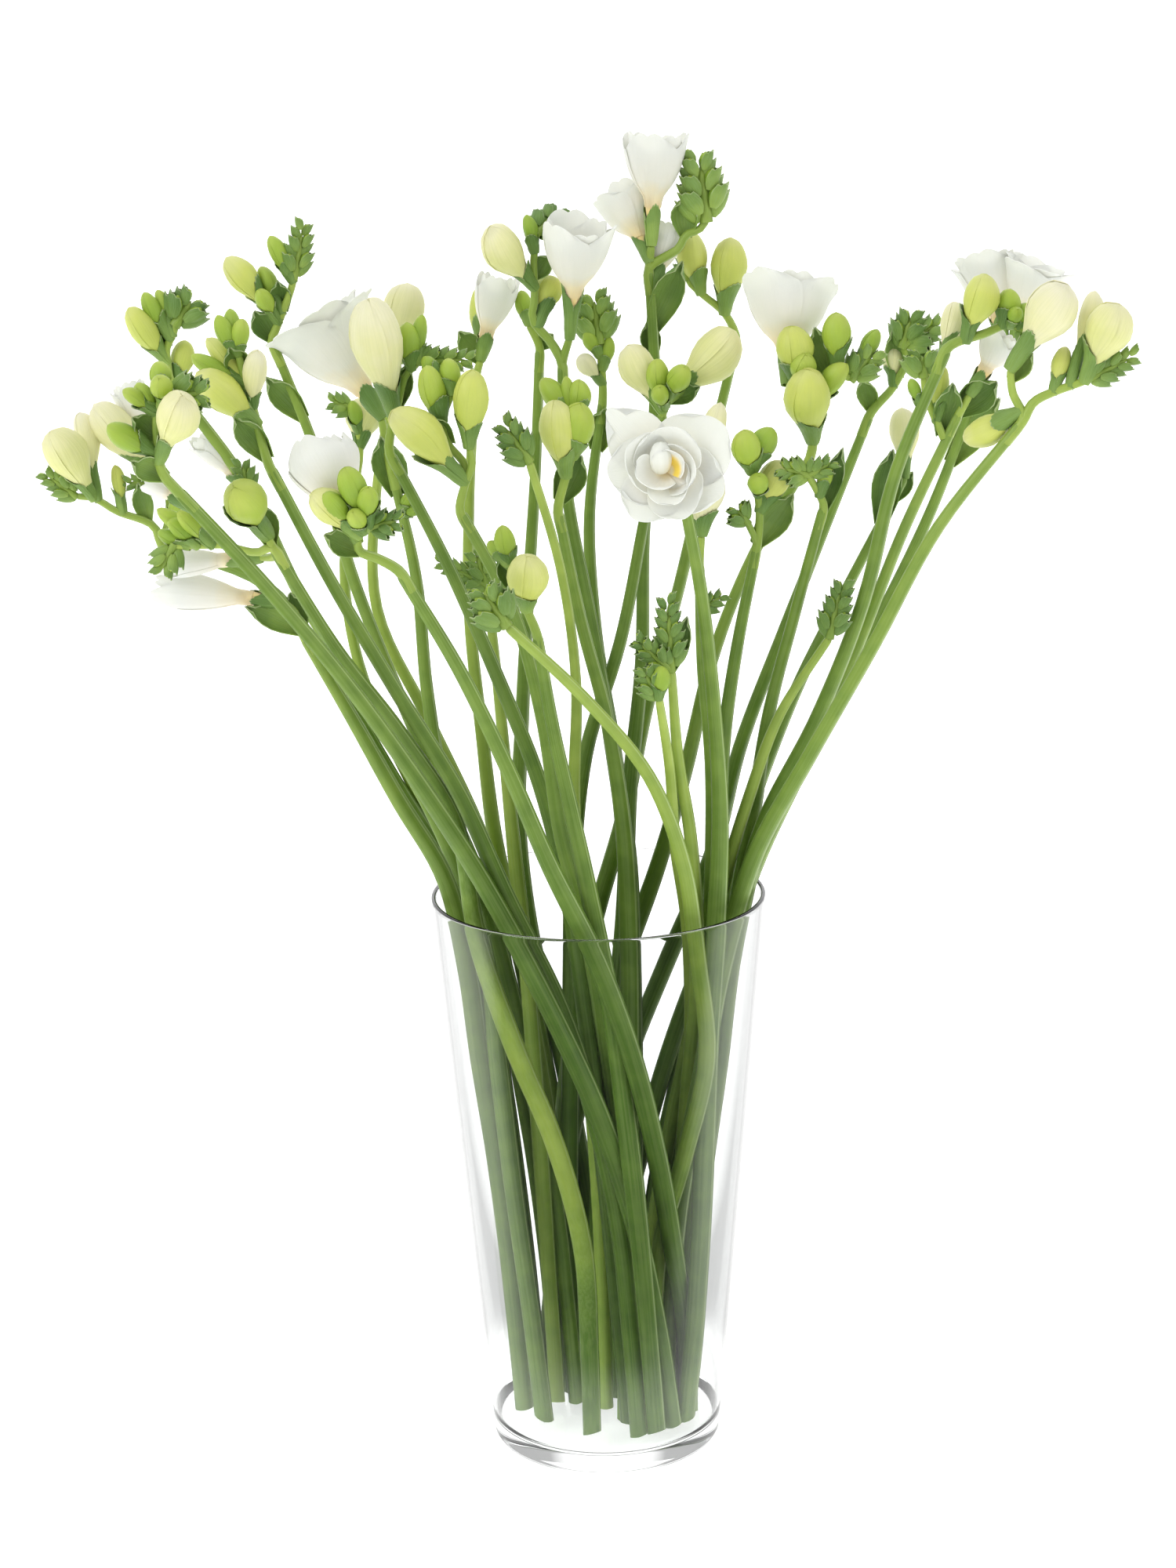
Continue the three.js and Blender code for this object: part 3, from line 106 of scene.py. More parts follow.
# Each stem: name, half thickness, foot [across, depth], then the places it passes through up to its neck,
# then its spray. The parts of a spray hold their places on the same plane, with depths counted from the neck:
#   x  side axis: half thickness, places
#   g, y, c  green, yellow-green and cream bud: base, tip, width, depth of the base, depth from base to tip
#   f  funnel flower and o  double flower, written the same way; l  leafy bract; t  scaly tip of unopened buds
# A capital letter marks a bloom that is a piece of its own, seated in its bract.
STEMS = [
    ["stem_01", 2.9, [-34, 6],
     [[-40, 90, 10], [-55, 200, 12], [-64, 232, 14], [-88, 280, 30], [-113, 327, 42], [-133, 356, 48],
      [-152, 366, 50], [-171, 371, 52]],
     [["x", 1.6, [[-171, 371, 0], [-174, 379, 0], [-188, 385, -2], [-196, 390, -2], [-203, 391, -2]]],
      ["x", 1.3, [[-171, 371, 0], [-169, 380, 4], [-168, 389, 4], [-170, 395, 4]]],
      ["C", -194, 396, -209, 413, 14, -4, -5], ["C", -181, 398, -192, 422, 13, 6, 4],
      ["y", -184, 388, -187, 401, 5, 2, 2], ["l", -176, 381, -179, 395, 6, -2, -2],
      ["g", -167, 381, -164, 388, 5, 0, -4], ["t", -203, 391, -216, 401, 7, -2, 0],
      ["t", -170, 395, -187, 396, 5, 2, -2]]],
    ["stem_02", 3.1, [-38, -6],
     [[-43, 100, -6], [-56, 190, -8], [-62, 226, -10], [-80, 262, -20], [-103, 307, -34], [-118, 335, -42]],
     [["x", 1.7, [[-118, 335, 0], [-121, 344, 0], [-125, 348, -1]]],
      ["F", -127, 349, -174, 355, 15, -1, 4], ["l", -119, 336, -139, 346, 6, -2, -2],
      ["l", -118, 338, -122, 351, 7, 2, 1]]],
    ["stem_03", 3.2, [31, -20],
     [[24, 40, -26], [7, 116, -44], [-5, 149, -46], [-33, 214, -40], [-45, 236, -36], [-68, 275, -55],
      [-91, 310, -68], [-114, 341, -78], [-137, 369, -88], [-150, 386, -92], [-158, 393, -94]],
     [["x", 1.8, [[-158, 393, 0], [-162, 398, 0], [-164, 404, 0], [-164, 411, 0], [-164, 419, 0],
      [-162, 426, 0], [-158, 428, -1]]], ["C", -155, 404, -154, 426, 14, -9, -8],
      ["l", -164, 396, -174, 404, 7, -2, -2], ["g", -169, 406, -181, 416, 8, -2, -3],
      ["l", -165, 413, -173, 420, 7, -2, -2], ["g", -168, 423, -175, 430, 5, 1, -2],
      ["g", -166, 422, -170, 432, 6, 3, 0], ["g", -163, 430, -162, 440, 7, 3, 2],
      ["g", -161, 427, -162, 434, 7, -4, -6], ["t", -158, 428, -143, 430, 10, -1, -3]]],
    ["stem_04", 3.0, [-6, -30],
     [[-10, 91, -40], [-28, 151, -42], [-40, 183, -38], [-50, 224, -28], [-52, 249, -30], [-62, 275, -36],
      [-94, 322, -55], [-108, 344, -62], [-122, 370, -68]],
     [["x", 1.5, [[-122, 370, 0], [-128, 368, 2], [-141, 371, 4], [-150, 371, 4], [-160, 371, 3]]],
      ["x", 1.5, [[-122, 370, 0], [-127, 382, 4], [-130, 391, 5]]],
      ["x", 1.5, [[-120, 367, 0], [-123, 366, 6], [-127, 366, 12]]], ["g", -145, 375, -163, 384, 6, 2, 2],
      ["g", -146, 375, -156, 383, 6, 0, -3], ["g", -151, 373, -160, 380, 6, 2, -2],
      ["g", -154, 372, -164, 376, 5, 5, 2], ["t", -160, 371, -167, 359, 8, 3, -2],
      ["g", -129, 376, -135, 391, 14, -11, -8], ["l", -122, 371, -126, 386, 7, 2, 2],
      ["t", -130, 391, -133, 405, 6, 5, 2], ["F", -129, 366, -165, 364, 11, 14, 8]]],
    ["stem_05", 3.0, [-30, -14],
     [[-36, 60, -16], [-44, 130, -10], [-50, 200, -4], [-54, 228, 0], [-66, 258, 6], [-86, 298, 14],
      [-105, 330, 16], [-117, 353, 14], [-126, 374, 10], [-136, 397, 4], [-146, 419, -4], [-154, 427, -8],
      [-161, 433, -10]],
     [["x", 1.7, [[-161, 433, 0], [-162, 440, 0], [-162, 446, 0], [-159, 452, 0], [-158, 456, 0]]],
      ["y", -170, 440, -175, 459, 9, -2, -2], ["y", -157, 433, -155, 447, 8, 4, 3],
      ["l", -162, 446, -170, 456, 7, -2, -1], ["g", -165, 452, -169, 465, 6, -1, 0],
      ["g", -163, 453, -164, 466, 5, 2, 1], ["t", -158, 455, -150, 466, 12, 0, 0]]],
    ["stem_06", 2.7, [-20, 18],
     [[-24, 90, 22], [-36, 180, 20], [-42, 225, 16], [-48, 240, 18], [-60, 272, 22], [-70, 298, 24],
      [-79, 320, 24], [-88, 345, 22], [-98, 385, 14], [-105, 413, 8], [-108, 424, 6], [-106, 433, 6],
      [-112, 440, 8], [-118, 448, 10]],
     [["x", 1.6, [[-118, 448, 0], [-116, 453, 0], [-113, 460, 0], [-110, 467, 0], [-108, 474, 0]]],
      ["l", -119, 449, -124, 459, 7, -2, -2], ["g", -121, 457, -122, 466, 6, -3, -2],
      ["y", -125, 460, -133, 477, 10, 1, 1], ["g", -121, 462, -121, 474, 6, 4, 2],
      ["l", -116, 460, -115, 470, 6, -2, -1], ["g", -116, 472, -117, 485, 6, 0, 0],
      ["t", -109, 471, -104, 493, 8, 0, 0], ["l", -109, 418, -120, 434, 8, -2, -2]]],
    ["stem_07", 3.0, [20, -30],
     [[12, 90, -38], [-2, 150, -42], [-16, 190, -42], [-32, 223, -36], [-44, 252, -40], [-61, 287, -45],
      [-79, 316, -50], [-96, 347, -52], [-113, 381, -55], [-122, 400, -55]],
     [["x", 1.7, [[-122, 400, 0], [-125, 412, 0], [-127, 421, 0], [-130, 434, 0], [-132, 443, 0]]],
      ["l", -124, 402, -134, 419, 8, -3, -2], ["y", -130, 415, -146, 434, 12, -3, -6],
      ["c", -128, 422, -125, 442, 8, -4, -3], ["y", -131, 429, -142, 447, 7, 3, 4],
      ["g", -135, 430, -148, 441, 6, 1, 0], ["l", -130, 435, -135, 445, 7, -2, -1],
      ["g", -132, 443, -138, 455, 6, -1, -1], ["g", -132, 443, -134, 457, 6, 1, 1],
      ["g", -131, 443, -130, 454, 6, -1, -2]]],
    ["stem_08", 3.1, [34, -12],
     [[34, 26, -16], [21, 121, -42], [10, 168, -48], [-4, 208, -50], [-10, 220, -50], [-21, 245, -54],
      [-31, 270, -60], [-43, 300, -68], [-60, 334, -78], [-75, 360, -85]],
     [["x", 1.8, [[-75, 360, 0], [-83, 365, 0], [-90, 368, 0], [-90, 374, -3], [-86, 377, -6]]],
      ["F", -92, 377, -105, 410, 27, 5, 6], ["l", -90, 367, -103, 374, 7, -2, -2],
      ["y", -96, 375, -106, 389, 11, -5, -5], ["g", -95, 380, -102, 389, 8, -7, -5],
      ["g", -91, 383, -94, 398, 9, -8, -4], ["g", -87, 382, -86, 391, 7, -9, -6],
      ["g", -92, 375, -92, 382, 6, -9, -7], ["t", -86, 376, -72, 380, 7, -6, -4]]],
    ["stem_09", 3.0, [12, -26],
     [[4, 100, -34], [-2, 160, -34], [-9, 220, -28], [-12, 235, -26], [-19, 264, -25], [-27, 296, -25],
      [-42, 328, -25], [-59, 371, -25], [-67, 389, -25], [-76, 405, -25]],
     [["x", 1.7, [[-76, 405, 0], [-75, 414, 2], [-72, 424, 3], [-69, 434, 3], [-64, 439, 3]]],
      ["C", -79, 420, -82, 459, 18, -6, -8], ["l", -73, 423, -68, 438, 6, 2, 1],
      ["g", -68, 438, -68, 452, 8, 2, 0], ["g", -62, 442, -62, 455, 5, 4, 1],
      ["t", -63, 439, -42, 440, 7, 2, -2]]],
    ["stem_10", 2.8, [-12, 0],
     [[-20, 100, 6], [-36, 190, 10], [-45, 226, 10], [-52, 245, 12], [-60, 270, 12], [-65, 295, 12],
      [-67, 325, 10], [-70, 362, 8], [-73, 380, 8], [-78, 400, 8]],
     [["x", 1.9, [[-78, 400, 0], [-80, 412, 0], [-81, 419, 0]]], ["F", -81, 421, -105, 458, 32, 2, 2],
      ["l", -75, 389, -81, 411, 10, -3, -2]]],
    ["stem_11", 2.5, [-8, 22],
     [[-16, 100, 24], [-28, 190, 24], [-38, 235, 26], [-45, 255, 28], [-53, 280, 32], [-62, 297, 34],
      [-68, 308, 35], [-76, 328, 38], [-83, 345, 40], [-84, 375, 42], [-78, 412, 44], [-72, 440, 45]],
     [["c", -71, 446, -68, 467, 15, 0, 2]]],
    ["stem_12", 2.5, [-28, 16],
     [[-34, 100, 18], [-46, 195, 16], [-52, 232, 18], [-64, 258, 24], [-78, 288, 30], [-88, 312, 34],
      [-95, 340, 36], [-95, 368, 38], [-92, 388, 40], [-88, 404, 40]],
     [["x", 1.6, [[-88, 404, 0], [-88, 414, 0], [-90, 422, 0]]], ["g", -89, 413, -90, 423, 5, -2, -1],
      ["c", -87, 408, -84, 424, 14, 4, 4], ["t", -90, 423, -100, 426, 6, 0, 0]]],
    ["stem_13", 2.7, [-4, 30],
     [[-14, 100, 32], [-30, 200, 30], [-38, 233, 30], [-42, 274, 32], [-45, 300, 34], [-48, 343, 38],
      [-47, 385, 42], [-45, 410, 44], [-43, 433, 45]],
     [["x", 1.8, [[-43, 433, 0], [-41, 440, 0]]], ["F", -40, 442, -33, 471, 17, 0, 0],
      ["y", -48, 443, -42, 464, 6, 14, 6], ["l", -44, 440, -49, 450, 7, -2, -1]]],
    ["stem_14", 2.5, [-20, -2],
     [[-24, 100, 0], [-29, 200, 2], [-31, 225, 2], [-33, 249, 2], [-36, 290, 1], [-39, 331, 0],
      [-41, 353, 0]],
     [["t", -41, 354, -61, 364, 6, 0, -2], ["t", -43, 356, -46, 369, 7, 2, 1]]],
    ["stem_15", 2.9, [6, 33],
     [[-6, 100, 36], [-24, 200, 38], [-31, 222, 38], [-29, 295, 42], [-28, 318, 44], [-24, 367, 46],
      [-20, 420, 50], [-19, 444, 50]],
     [["x", 1.8, [[-19, 444, 0], [-23, 453, 0]]], ["l", -18, 444, -14, 449, 5, -1, -1],
      ["g", -23, 453, -25, 463, 6, 0, 0]]],
    ["stem_16", 3.0, [16, -32],
     [[10, 100, -36], [2, 170, -36], [-6, 222, -38], [-13, 248, -38], [-18, 287, -38], [-25, 321, -38],
      [-29, 337, -38], [-37, 358, -39], [-45, 373, -40], [-50, 382, -40]],
     [["x", 1.7, [[-50, 382, 0], [-48, 392, 0], [-45, 400, 0], [-46, 407, 0]]],
      ["x", 1.5, [[-48, 392, 0], [-48, 400, 3], [-54, 408, 4], [-56, 416, 4], [-52, 427, 4]]],
      ["y", -57, 395, -73, 418, 14, -4, -4], ["y", -45, 409, -44, 433, 12, -2, -2],
      ["l", -53, 407, -63, 418, 8, -1, -2], ["g", -58, 417, -61, 435, 9, 3, 0],
      ["g", -52, 427, -53, 438, 7, 5, 2], ["g", -60, 433, -62, 440, 5, 6, 3]]],
    ["stem_17", 3.0, [24, -26],
     [[14, 100, -40], [4, 190, -46], [-2, 222, -48], [-7, 250, -50], [-12, 272, -52], [-17, 300, -56],
      [-22, 334, -62]],
     [["x", 1.7, [[-22, 334, 0], [-25, 342, 0], [-30, 354, 1], [-32, 361, 1]]],
      ["y", -25, 344, -25, 362, 14, -3, -6], ["l", -30, 350, -36, 364, 6, 2, 1],
      ["g", -31, 361, -34, 374, 7, 3, 2], ["g", -34, 361, -39, 369, 5, 4, 2]]],
    ["stem_18", 3.0, [8, -14],
     [[10, 100, -14], [12, 200, -12], [11, 232, -12], [9, 273, -12], [2, 311, -12], [-8, 352, -14],
      [-13, 382, -15]],
     [["x", 1.8, [[-13, 382, 0], [-10, 394, 0], [-7, 404, 1], [-6, 414, 2]]],
      ["y", -17, 397, -14, 421, 13, -5, -3], ["g", -5, 402, -4, 420, 12, -4, -3],
      ["g", -5, 418, -4, 430, 8, 3, 2], ["g", -9, 417, -9, 431, 5, 4, 2],
      ["g", -17, 414, -18, 430, 8, 5, 4], ["l", -10, 386, -4, 402, 9, 2, 1]]],
    ["stem_19", 2.3, [0, -8],
     [[-2, 100, -10], [-8, 220, -14], [-9, 270, -18], [-8, 293, -20], [-8, 338, -24], [-11, 353, -26],
      [-15, 366, -28], [-18, 376, -30], [-20, 390, -33], [-24, 401, -35]],
     [["t", -24, 401, -35, 417, 9, 0, -1]]],
    ["stem_20", 3.0, [4, 4],
     [[8, 100, 4], [12, 200, 4], [12, 235, 6], [9, 273, 8], [2, 318, 10], [-4, 360, 12], [-10, 397, 14],
      [-10, 438, 15]],
     [["x", 1.7, [[-10, 438, 0], [-14, 446, 0], [-21, 455, 0], [-20, 462, 0], [-20, 476, 0],
      [-19, 487, 0]]], ["x", 1.8, [[-10, 438, 0], [-7, 448, -2]]],
      ["F", -6, 455, -3, 492, 26, -6, -5], ["C", -25, 466, -35, 487, 14, -8, -2],
      ["y", -15, 456, -13, 469, 10, 5, 3], ["g", -20, 480, -22, 491, 5, 0, 0],
      ["l", -18, 471, -14, 478, 6, 0, 0], ["t", -19, 487, -9, 496, 9, 9, 6]]],
    ["stem_21", 2.9, [10, 20],
     [[14, 100, 22], [14, 200, 26], [13, 240, 28], [11, 262, 28], [6, 300, 30], [1, 335, 32],
      [-1, 365, 33], [0, 390, 34], [5, 424, 35]],
     [["x", 1.7, [[5, 424, 0], [5, 433, 0], [4, 446, 0]]], ["t", 4, 446, 2, 465, 12, 0, 0],
      ["g", -1, 440, -1, 449, 5, -1, -1], ["g", 8, 436, 8, 446, 5, 1, 0],
      ["c", 0, 430, -3, 440, 7, -2, -1], ["l", 3, 405, 6, 420, 9, -2, -1]]],
    ["stem_22", 2.9, [-16, 14],
     [[-15, 100, 18], [-12, 200, 20], [-10, 250, 20], [-6, 281, 18], [4, 316, 14], [15, 347, 10],
      [19, 377, 8], [24, 400, 6], [27, 419, 5]],
     [["x", 1.8, [[27, 419, 0], [29, 424, 0]]], ["C", 30, 430, 52, 447, 17, 6, 2],
      ["c", 18, 421, 14, 442, 13, 3, 2], ["g", 20, 424, 24, 437, 8, -3, -2],
      ["g", 32, 423, 35, 434, 8, -8, -4], ["g", 27, 420, 26, 427, 6, -5, -6],
      ["l", 33, 421, 41, 428, 6, -5, -2]]],
    ["stem_23", 3.0, [-8, 10],
     [[-2, 100, 14], [8, 200, 16], [12, 240, 18], [13, 273, 20], [17, 305, 22], [19, 336, 24],
      [20, 377, 28], [24, 410, 30], [25, 435, 32], [27, 449, 33], [25, 460, 34], [23, 473, 35]],
     [["x", 1.8, [[23, 473, 0], [29, 477, 0], [34, 480, 0], [37, 485, 0], [42, 487, 0], [45, 491, 0]]],
      ["x", 1.9, [[23, 473, 0], [24, 482, -1]]], ["F", 24, 488, 26, 523, 20, -1, 0],
      ["f", 20, 477, 13, 502, 15, 8, 7], ["f", 30, 464, 31, 488, 9, 6, 5],
      ["l", 36, 485, 36, 498, 8, -2, -1], ["t", 45, 490, 42, 516, 14, 0, 0],
      ["l", 28, 450, 35, 474, 9, -2, -2], ["l", 25, 441, 22, 452, 6, -1, 1]]],
    ["stem_24", 3.1, [28, -18],
     [[33, 60, -24], [42, 200, -26], [46, 241, -30], [43, 320, -42], [39, 354, -50], [35, 380, -58],
      [33, 388, -61]],
     [["O", 31, 391, 26, 401, 44, -4, -17]]],
    ["stem_25", 2.9, [30, -4],
     [[36, 80, -6], [46, 200, -10], [48, 240, -14], [48, 290, -22], [45, 330, -30], [45, 361, -35]],
     [["x", 1.8, [[45, 361, 0], [46, 372, 1]]], ["c", 46, 374, 48, 396, 15, 1, 1],
      ["c", 50, 388, 53, 419, 9, 6, 4], ["t", 47, 342, 56, 349, 5, 3, 0]]],
    ["stem_26", 2.9, [-22, 26],
     [[-18, 100, 28], [-8, 190, 30], [-1, 218, 32], [6, 243, 34], [12, 265, 36], [18, 295, 38],
      [25, 320, 40], [33, 350, 43], [40, 378, 46], [49, 420, 49], [53, 437, 50], [56, 445, 50]],
     [["x", 1.6, [[56, 445, 0], [52, 455, 0], [43, 463, 0], [38, 468, 0], [37, 474, 0]]],
      ["y", 56, 459, 54, 481, 13, -2, -1], ["y", 46, 467, 39, 484, 11, -1, 0],
      ["t", 38, 469, 36, 477, 6, 1, 0]]],
    ["stem_27", 2.4, [32, 8],
     [[38, 110, 0], [44, 190, -14], [42, 235, -24], [39, 262, -34], [36, 280, -42], [33, 302, -50],
      [33, 318, -55]],
     [["t", 33, 319, 32, 348, 8, 0, 0], ["t", 31, 320, 18, 331, 7, -3, -2],
      ["l", 33, 321, 39, 338, 6, 2, 1]]],
    ["stem_28", 2.2, [26, 10],
     [[34, 110, 4], [38, 190, -8], [36, 230, -20], [31, 262, -36], [31, 285, -48], [30, 300, -58],
      [27, 309, -62]],
     [["g", 27, 310, 28, 320, 6, 0, -1], ["t", 27, 311, 20, 322, 7, 0, -2]]],
    ["stem_29", 2.6, [22, -6],
     [[27, 89, -20], [32, 109, -26], [42, 143, -30], [44, 176, -32], [38, 215, -40], [33, 250, -48],
      [18, 283, -62], [0, 305, -72], [-18, 324, -80], [-33, 338, -85]],
     [["t", -33, 338, -43, 353, 12, 0, -2]]],
    ["stem_30", 3.0, [36, -2],
     [[38, 60, -4], [44, 140, -6], [48, 200, -8], [50, 222, -10], [50, 262, -14], [51, 285, -18],
      [54, 313, -22], [60, 345, -27], [64, 366, -30]],
     [["x", 1.5, [[64, 366, 0], [60, 376, -3]]],
      ["x", 1.7, [[64, 367, 0], [65, 378, -1], [64, 388, -3], [62, 395, -3]]],
      ["t", 60, 375, 55, 382, 7, -3, -3], ["y", 68, 381, 73, 397, 11, 2, 2],
      ["l", 65, 368, 77, 385, 9, 3, 2], ["g", 60, 396, 59, 409, 10, -4, -3],
      ["g", 65, 398, 69, 410, 9, 1, 1], ["g", 65, 385, 65, 392, 7, -6, -5]]],
    ["stem_31", 2.9, [-30, 22],
     [[-14, 130, 26], [6, 195, 30], [15, 215, 32], [21, 235, 32], [31, 262, 30], [36, 287, 26],
      [41, 312, 22], [53, 341, 14], [63, 368, 8], [69, 385, 4], [77, 396, 0], [83, 400, -2]],
     [["x", 1.8, [[83, 400, 0], [85, 412, 1], [88, 428, 2], [94, 432, 2], [99, 430, 2]]],
      ["x", 1.6, [[86, 420, 2], [79, 427, 3], [74, 429, 5]]], ["y", 83, 407, 82, 431, 16, -6, -5],
      ["y", 78, 430, 76, 448, 13, -2, 0], ["g", 79, 428, 81, 438, 9, -4, -3],
      ["F", 71, 431, 75, 469, 32, 15, 10], ["g", 92, 438, 93, 453, 10, 0, 0],
      ["l", 88, 434, 85, 449, 8, 2, 1], ["g", 91, 420, 96, 434, 8, -3, -2],
      ["g", 103, 437, 108, 447, 6, 3, 1], ["t", 99, 430, 109, 442, 9, 1, 0]]],
    ["stem_32", 2.9, [34, 14],
     [[36, 60, 12], [46, 150, 8], [54, 215, 4], [56, 225, 3], [59, 243, 0], [63, 270, -5], [68, 303, -10],
      [77, 339, -18], [84, 359, -22], [88, 381, -25]],
     [["x", 1.6, [[88, 381, 0], [85, 388, -1], [82, 393, -2]]], ["t", 83, 394, 70, 397, 7, -3, -4],
      ["t", 83, 394, 93, 399, 6, -2, -2], ["g", 88, 386, 89, 397, 5, 0, 0],
      ["l", 90, 380, 95, 402, 6, 2, 0]]],
    ["stem_33", 2.9, [-20, 32],
     [[-14, 80, 34], [10, 160, 40], [34, 215, 38], [42, 232, 36], [52, 266, 34], [61, 302, 32],
      [74, 333, 30], [86, 365, 28], [98, 392, 26], [107, 417, 25]],
     [["x", 1.7, [[107, 417, 0], [115, 426, 0], [118, 431, 0], [121, 437, 0], [119, 442, 0]]],
      ["t", 119, 442, 123, 456, 10, 0, 0], ["t", 122, 452, 134, 452, 9, 0, -1],
      ["l", 119, 437, 129, 445, 7, -2, -1], ["l", 117, 431, 115, 447, 6, 1, 0],
      ["c", 113, 429, 115, 441, 8, 4, 3], ["l", 107, 418, 104, 430, 6, -1, -1]]],
    ["stem_34", 3.3, [36, 8],
     [[38, 80, 4], [48, 160, -4], [56, 215, -10], [59, 228, -12], [64, 247, -14], [92, 307, -24],
      [104, 340, -30], [113, 365, -34], [116, 387, -37], [122, 408, -40], [130, 429, -43], [137, 441, -45]],
     [["x", 1.8, [[137, 441, 0], [151, 446, 0], [159, 449, 0], [164, 448, 0]]],
      ["y", 142, 449, 150, 466, 12, -3, -2], ["g", 157, 451, 160, 461, 8, -1, -1],
      ["g", 161, 449, 163, 454, 5, -4, -4], ["g", 165, 449, 167, 456, 6, 0, -1],
      ["t", 163, 448, 173, 443, 8, -1, -2], ["g", 124, 420, 123, 428, 4, 3, 1]]],
    ["stem_35", 3.1, [30, -14],
     [[34, 80, -14], [48, 160, -12], [59, 215, -8], [63, 230, -10], [83, 272, -32], [101, 303, -38],
      [119, 337, -44], [134, 364, -48], [148, 393, -52], [159, 405, -54], [170, 414, -55]],
     [["x", 1.8, [[170, 414, 0], [174, 421, 0], [182, 425, 0], [188, 427, 0], [194, 429, 0]]],
      ["x", 1.7, [[170, 415, 0], [166, 425, 2], [165, 434, 2]]], ["C", 177, 437, 185, 462, 17, -2, -1],
      ["c", 182, 440, 195, 460, 8, 9, 5], ["C", 191, 436, 204, 455, 16, -3, 0],
      ["y", 180, 427, 185, 440, 6, 4, 3], ["t", 194, 429, 214, 439, 7, 0, 0],
      ["y", 168, 417, 150, 408, 10, 5, 4], ["l", 165, 430, 173, 439, 6, 1, 0]]],
    ["stem_36", 2.9, [20, 16],
     [[28, 80, 14], [44, 170, 8], [56, 215, 2], [62, 232, 0], [80, 272, -4], [98, 310, -8],
      [119, 365, -12], [130, 389, -14], [143, 417, -15]],
     [["l", 143, 417, 156, 428, 10, -1, -1], ["x", 1.7, [[143, 417, 0], [147, 424, 0]]],
      ["F", 150, 429, 160, 446, 16, -2, -2], ["y", 133, 414, 135, 433, 9, 5, 4],
      ["l", 137, 408, 140, 427, 8, -2, -2], ["x", 1.5, [[137, 407, 0], [130, 424, 1], [129, 431, 1]]],
      ["t", 129, 431, 128, 441, 10, 1, 0]]],
    ["stem_37", 2.9, [0, 28],
     [[10, 80, 32], [34, 170, 30], [50, 212, 22], [60, 235, 18], [75, 265, 18], [95, 300, 20],
      [110, 330, 22], [128, 368, 26], [141, 398, 28], [150, 425, 30]],
     [["x", 1.8, [[150, 425, 0], [158, 440, 0], [164, 446, 0]]], ["F", 157, 445, 152, 477, 24, 6, 6],
      ["F", 168, 448, 173, 474, 24, -2, 0], ["l", 141, 398, 158, 421, 9, -2, -2]]],
    ["stem_38", 2.8, [14, 8],
     [[20, 90, 24], [40, 180, 28], [52, 225, 26], [57, 240, 26], [67, 270, 30], [80, 305, 34],
      [96, 338, 38], [112, 370, 42], [124, 393, 45]],
     [["c", 126, 397, 123, 417, 11, 0, 0], ["l", 113, 376, 119, 402, 9, -2, -1],
      ["l", 119, 384, 126, 394, 6, 2, 1]]],
    ["stem_39", 2.4, [12, -2],
     [[22, 90, 0], [40, 180, 0], [50, 225, -6], [55, 245, -10], [65, 275, -16], [71, 291, -20],
      [82, 316, -26], [94, 330, -30]],
     [["t", 95, 331, 99, 353, 8, 0, 0]]],
]
# How each bloom opens (below 0 closed, above 0 flared), how its petals are turned, and how broad and how long
# it is against the plain one.
BLOOM_WAYS = {
    "bloom_01_a": (0.0, 0.4, 1.15, 1.05), "bloom_01_b": (0.0, 1.9, 1.15, 1.05),
    "bloom_02_a": (-0.5, 0.5, 1.0, 1.0), "bloom_03_a": (0.0, 0.2, 1.0, 1.0),
    "bloom_04_a": (-0.5, 1.1, 1.0, 1.0), "bloom_08_a": (-0.75, 0.6, 1.0, 1.0),
    "bloom_09_a": (0.0, 1.3, 1.0, 1.0), "bloom_10_a": (0.9, 0.1, 1.12, 1.08),
    "bloom_13_a": (-0.2, 0.9, 1.0, 1.0), "bloom_20_a": (0.35, 0.3, 1.0, 1.0),
    "bloom_20_b": (0.0, 2.2, 1.0, 1.0), "bloom_22_a": (0.0, 0.7, 1.0, 1.0),
    "bloom_23_a": (0.2, 0.8, 1.2, 1.02), "bloom_24_a": (0.5, 0.0, 0.88, 1.0),
    "bloom_31_a": (0.6, 0.2, 1.0, 1.0), "bloom_35_a": (0.0, 1.0, 1.0, 1.0),
    "bloom_35_b": (0.0, 0.1, 1.0, 1.0), "bloom_36_a": (-0.4, 0.5, 1.0, 1.0),
    "bloom_37_a": (0.5, 0.9, 1.0, 1.0), "bloom_37_b": (0.7, 0.4, 1.0, 1.0),
}
# How much broader the small flowers of a stem are than their plain solids.
SMALL_BLOOM_WIDTHS = {"stem_23": 1.5}
# How much broader and longer each other kind of part is than its plain solid.
FULLNESS = {"c": (1.05, 1.1), "y": (1.08, 1.12), "g": (1.08, 1.14), "t": (1.08, 1.06), "l": (1.3, 1.08)}
# Small parts of the sprays that the plain solids leave out, written like the parts in STEMS.
MORE_PARTS = {
    "stem_01": [["c", -185, 403, -198, 421, 9, 10, 4], ["f", -176, 408, -181, 433, 14, 16, 6]],
    "stem_03": [["f", -153, 387, -168, 397, 9, 9, 2]],
    "stem_05": [["f", -141, 386, -151, 412, 11, 8, 4]],
    "stem_10": [["g", -76, 383, -72, 388, 4, -1, -2], ["g", -76, 381, -70, 383, 4, -1, -1]],
    "stem_34": [["c", 130, 439, 139, 456, 9, 12, 2]],
}
# Young stems of a lighter green, and the tone along the one that is light only in its middle.
LIGHT_STEMS = ("stem_11", "stem_12", "stem_13", "stem_14", "stem_19", "stem_27", "stem_28", "stem_29",
               "stem_39")
TONES_ALONG = {"stem_04": [(0, 0.35), (0.14, 0.38), (0.2, 0.8), (0.45, 0.88), (0.56, 0.45), (1, 0.35)]}

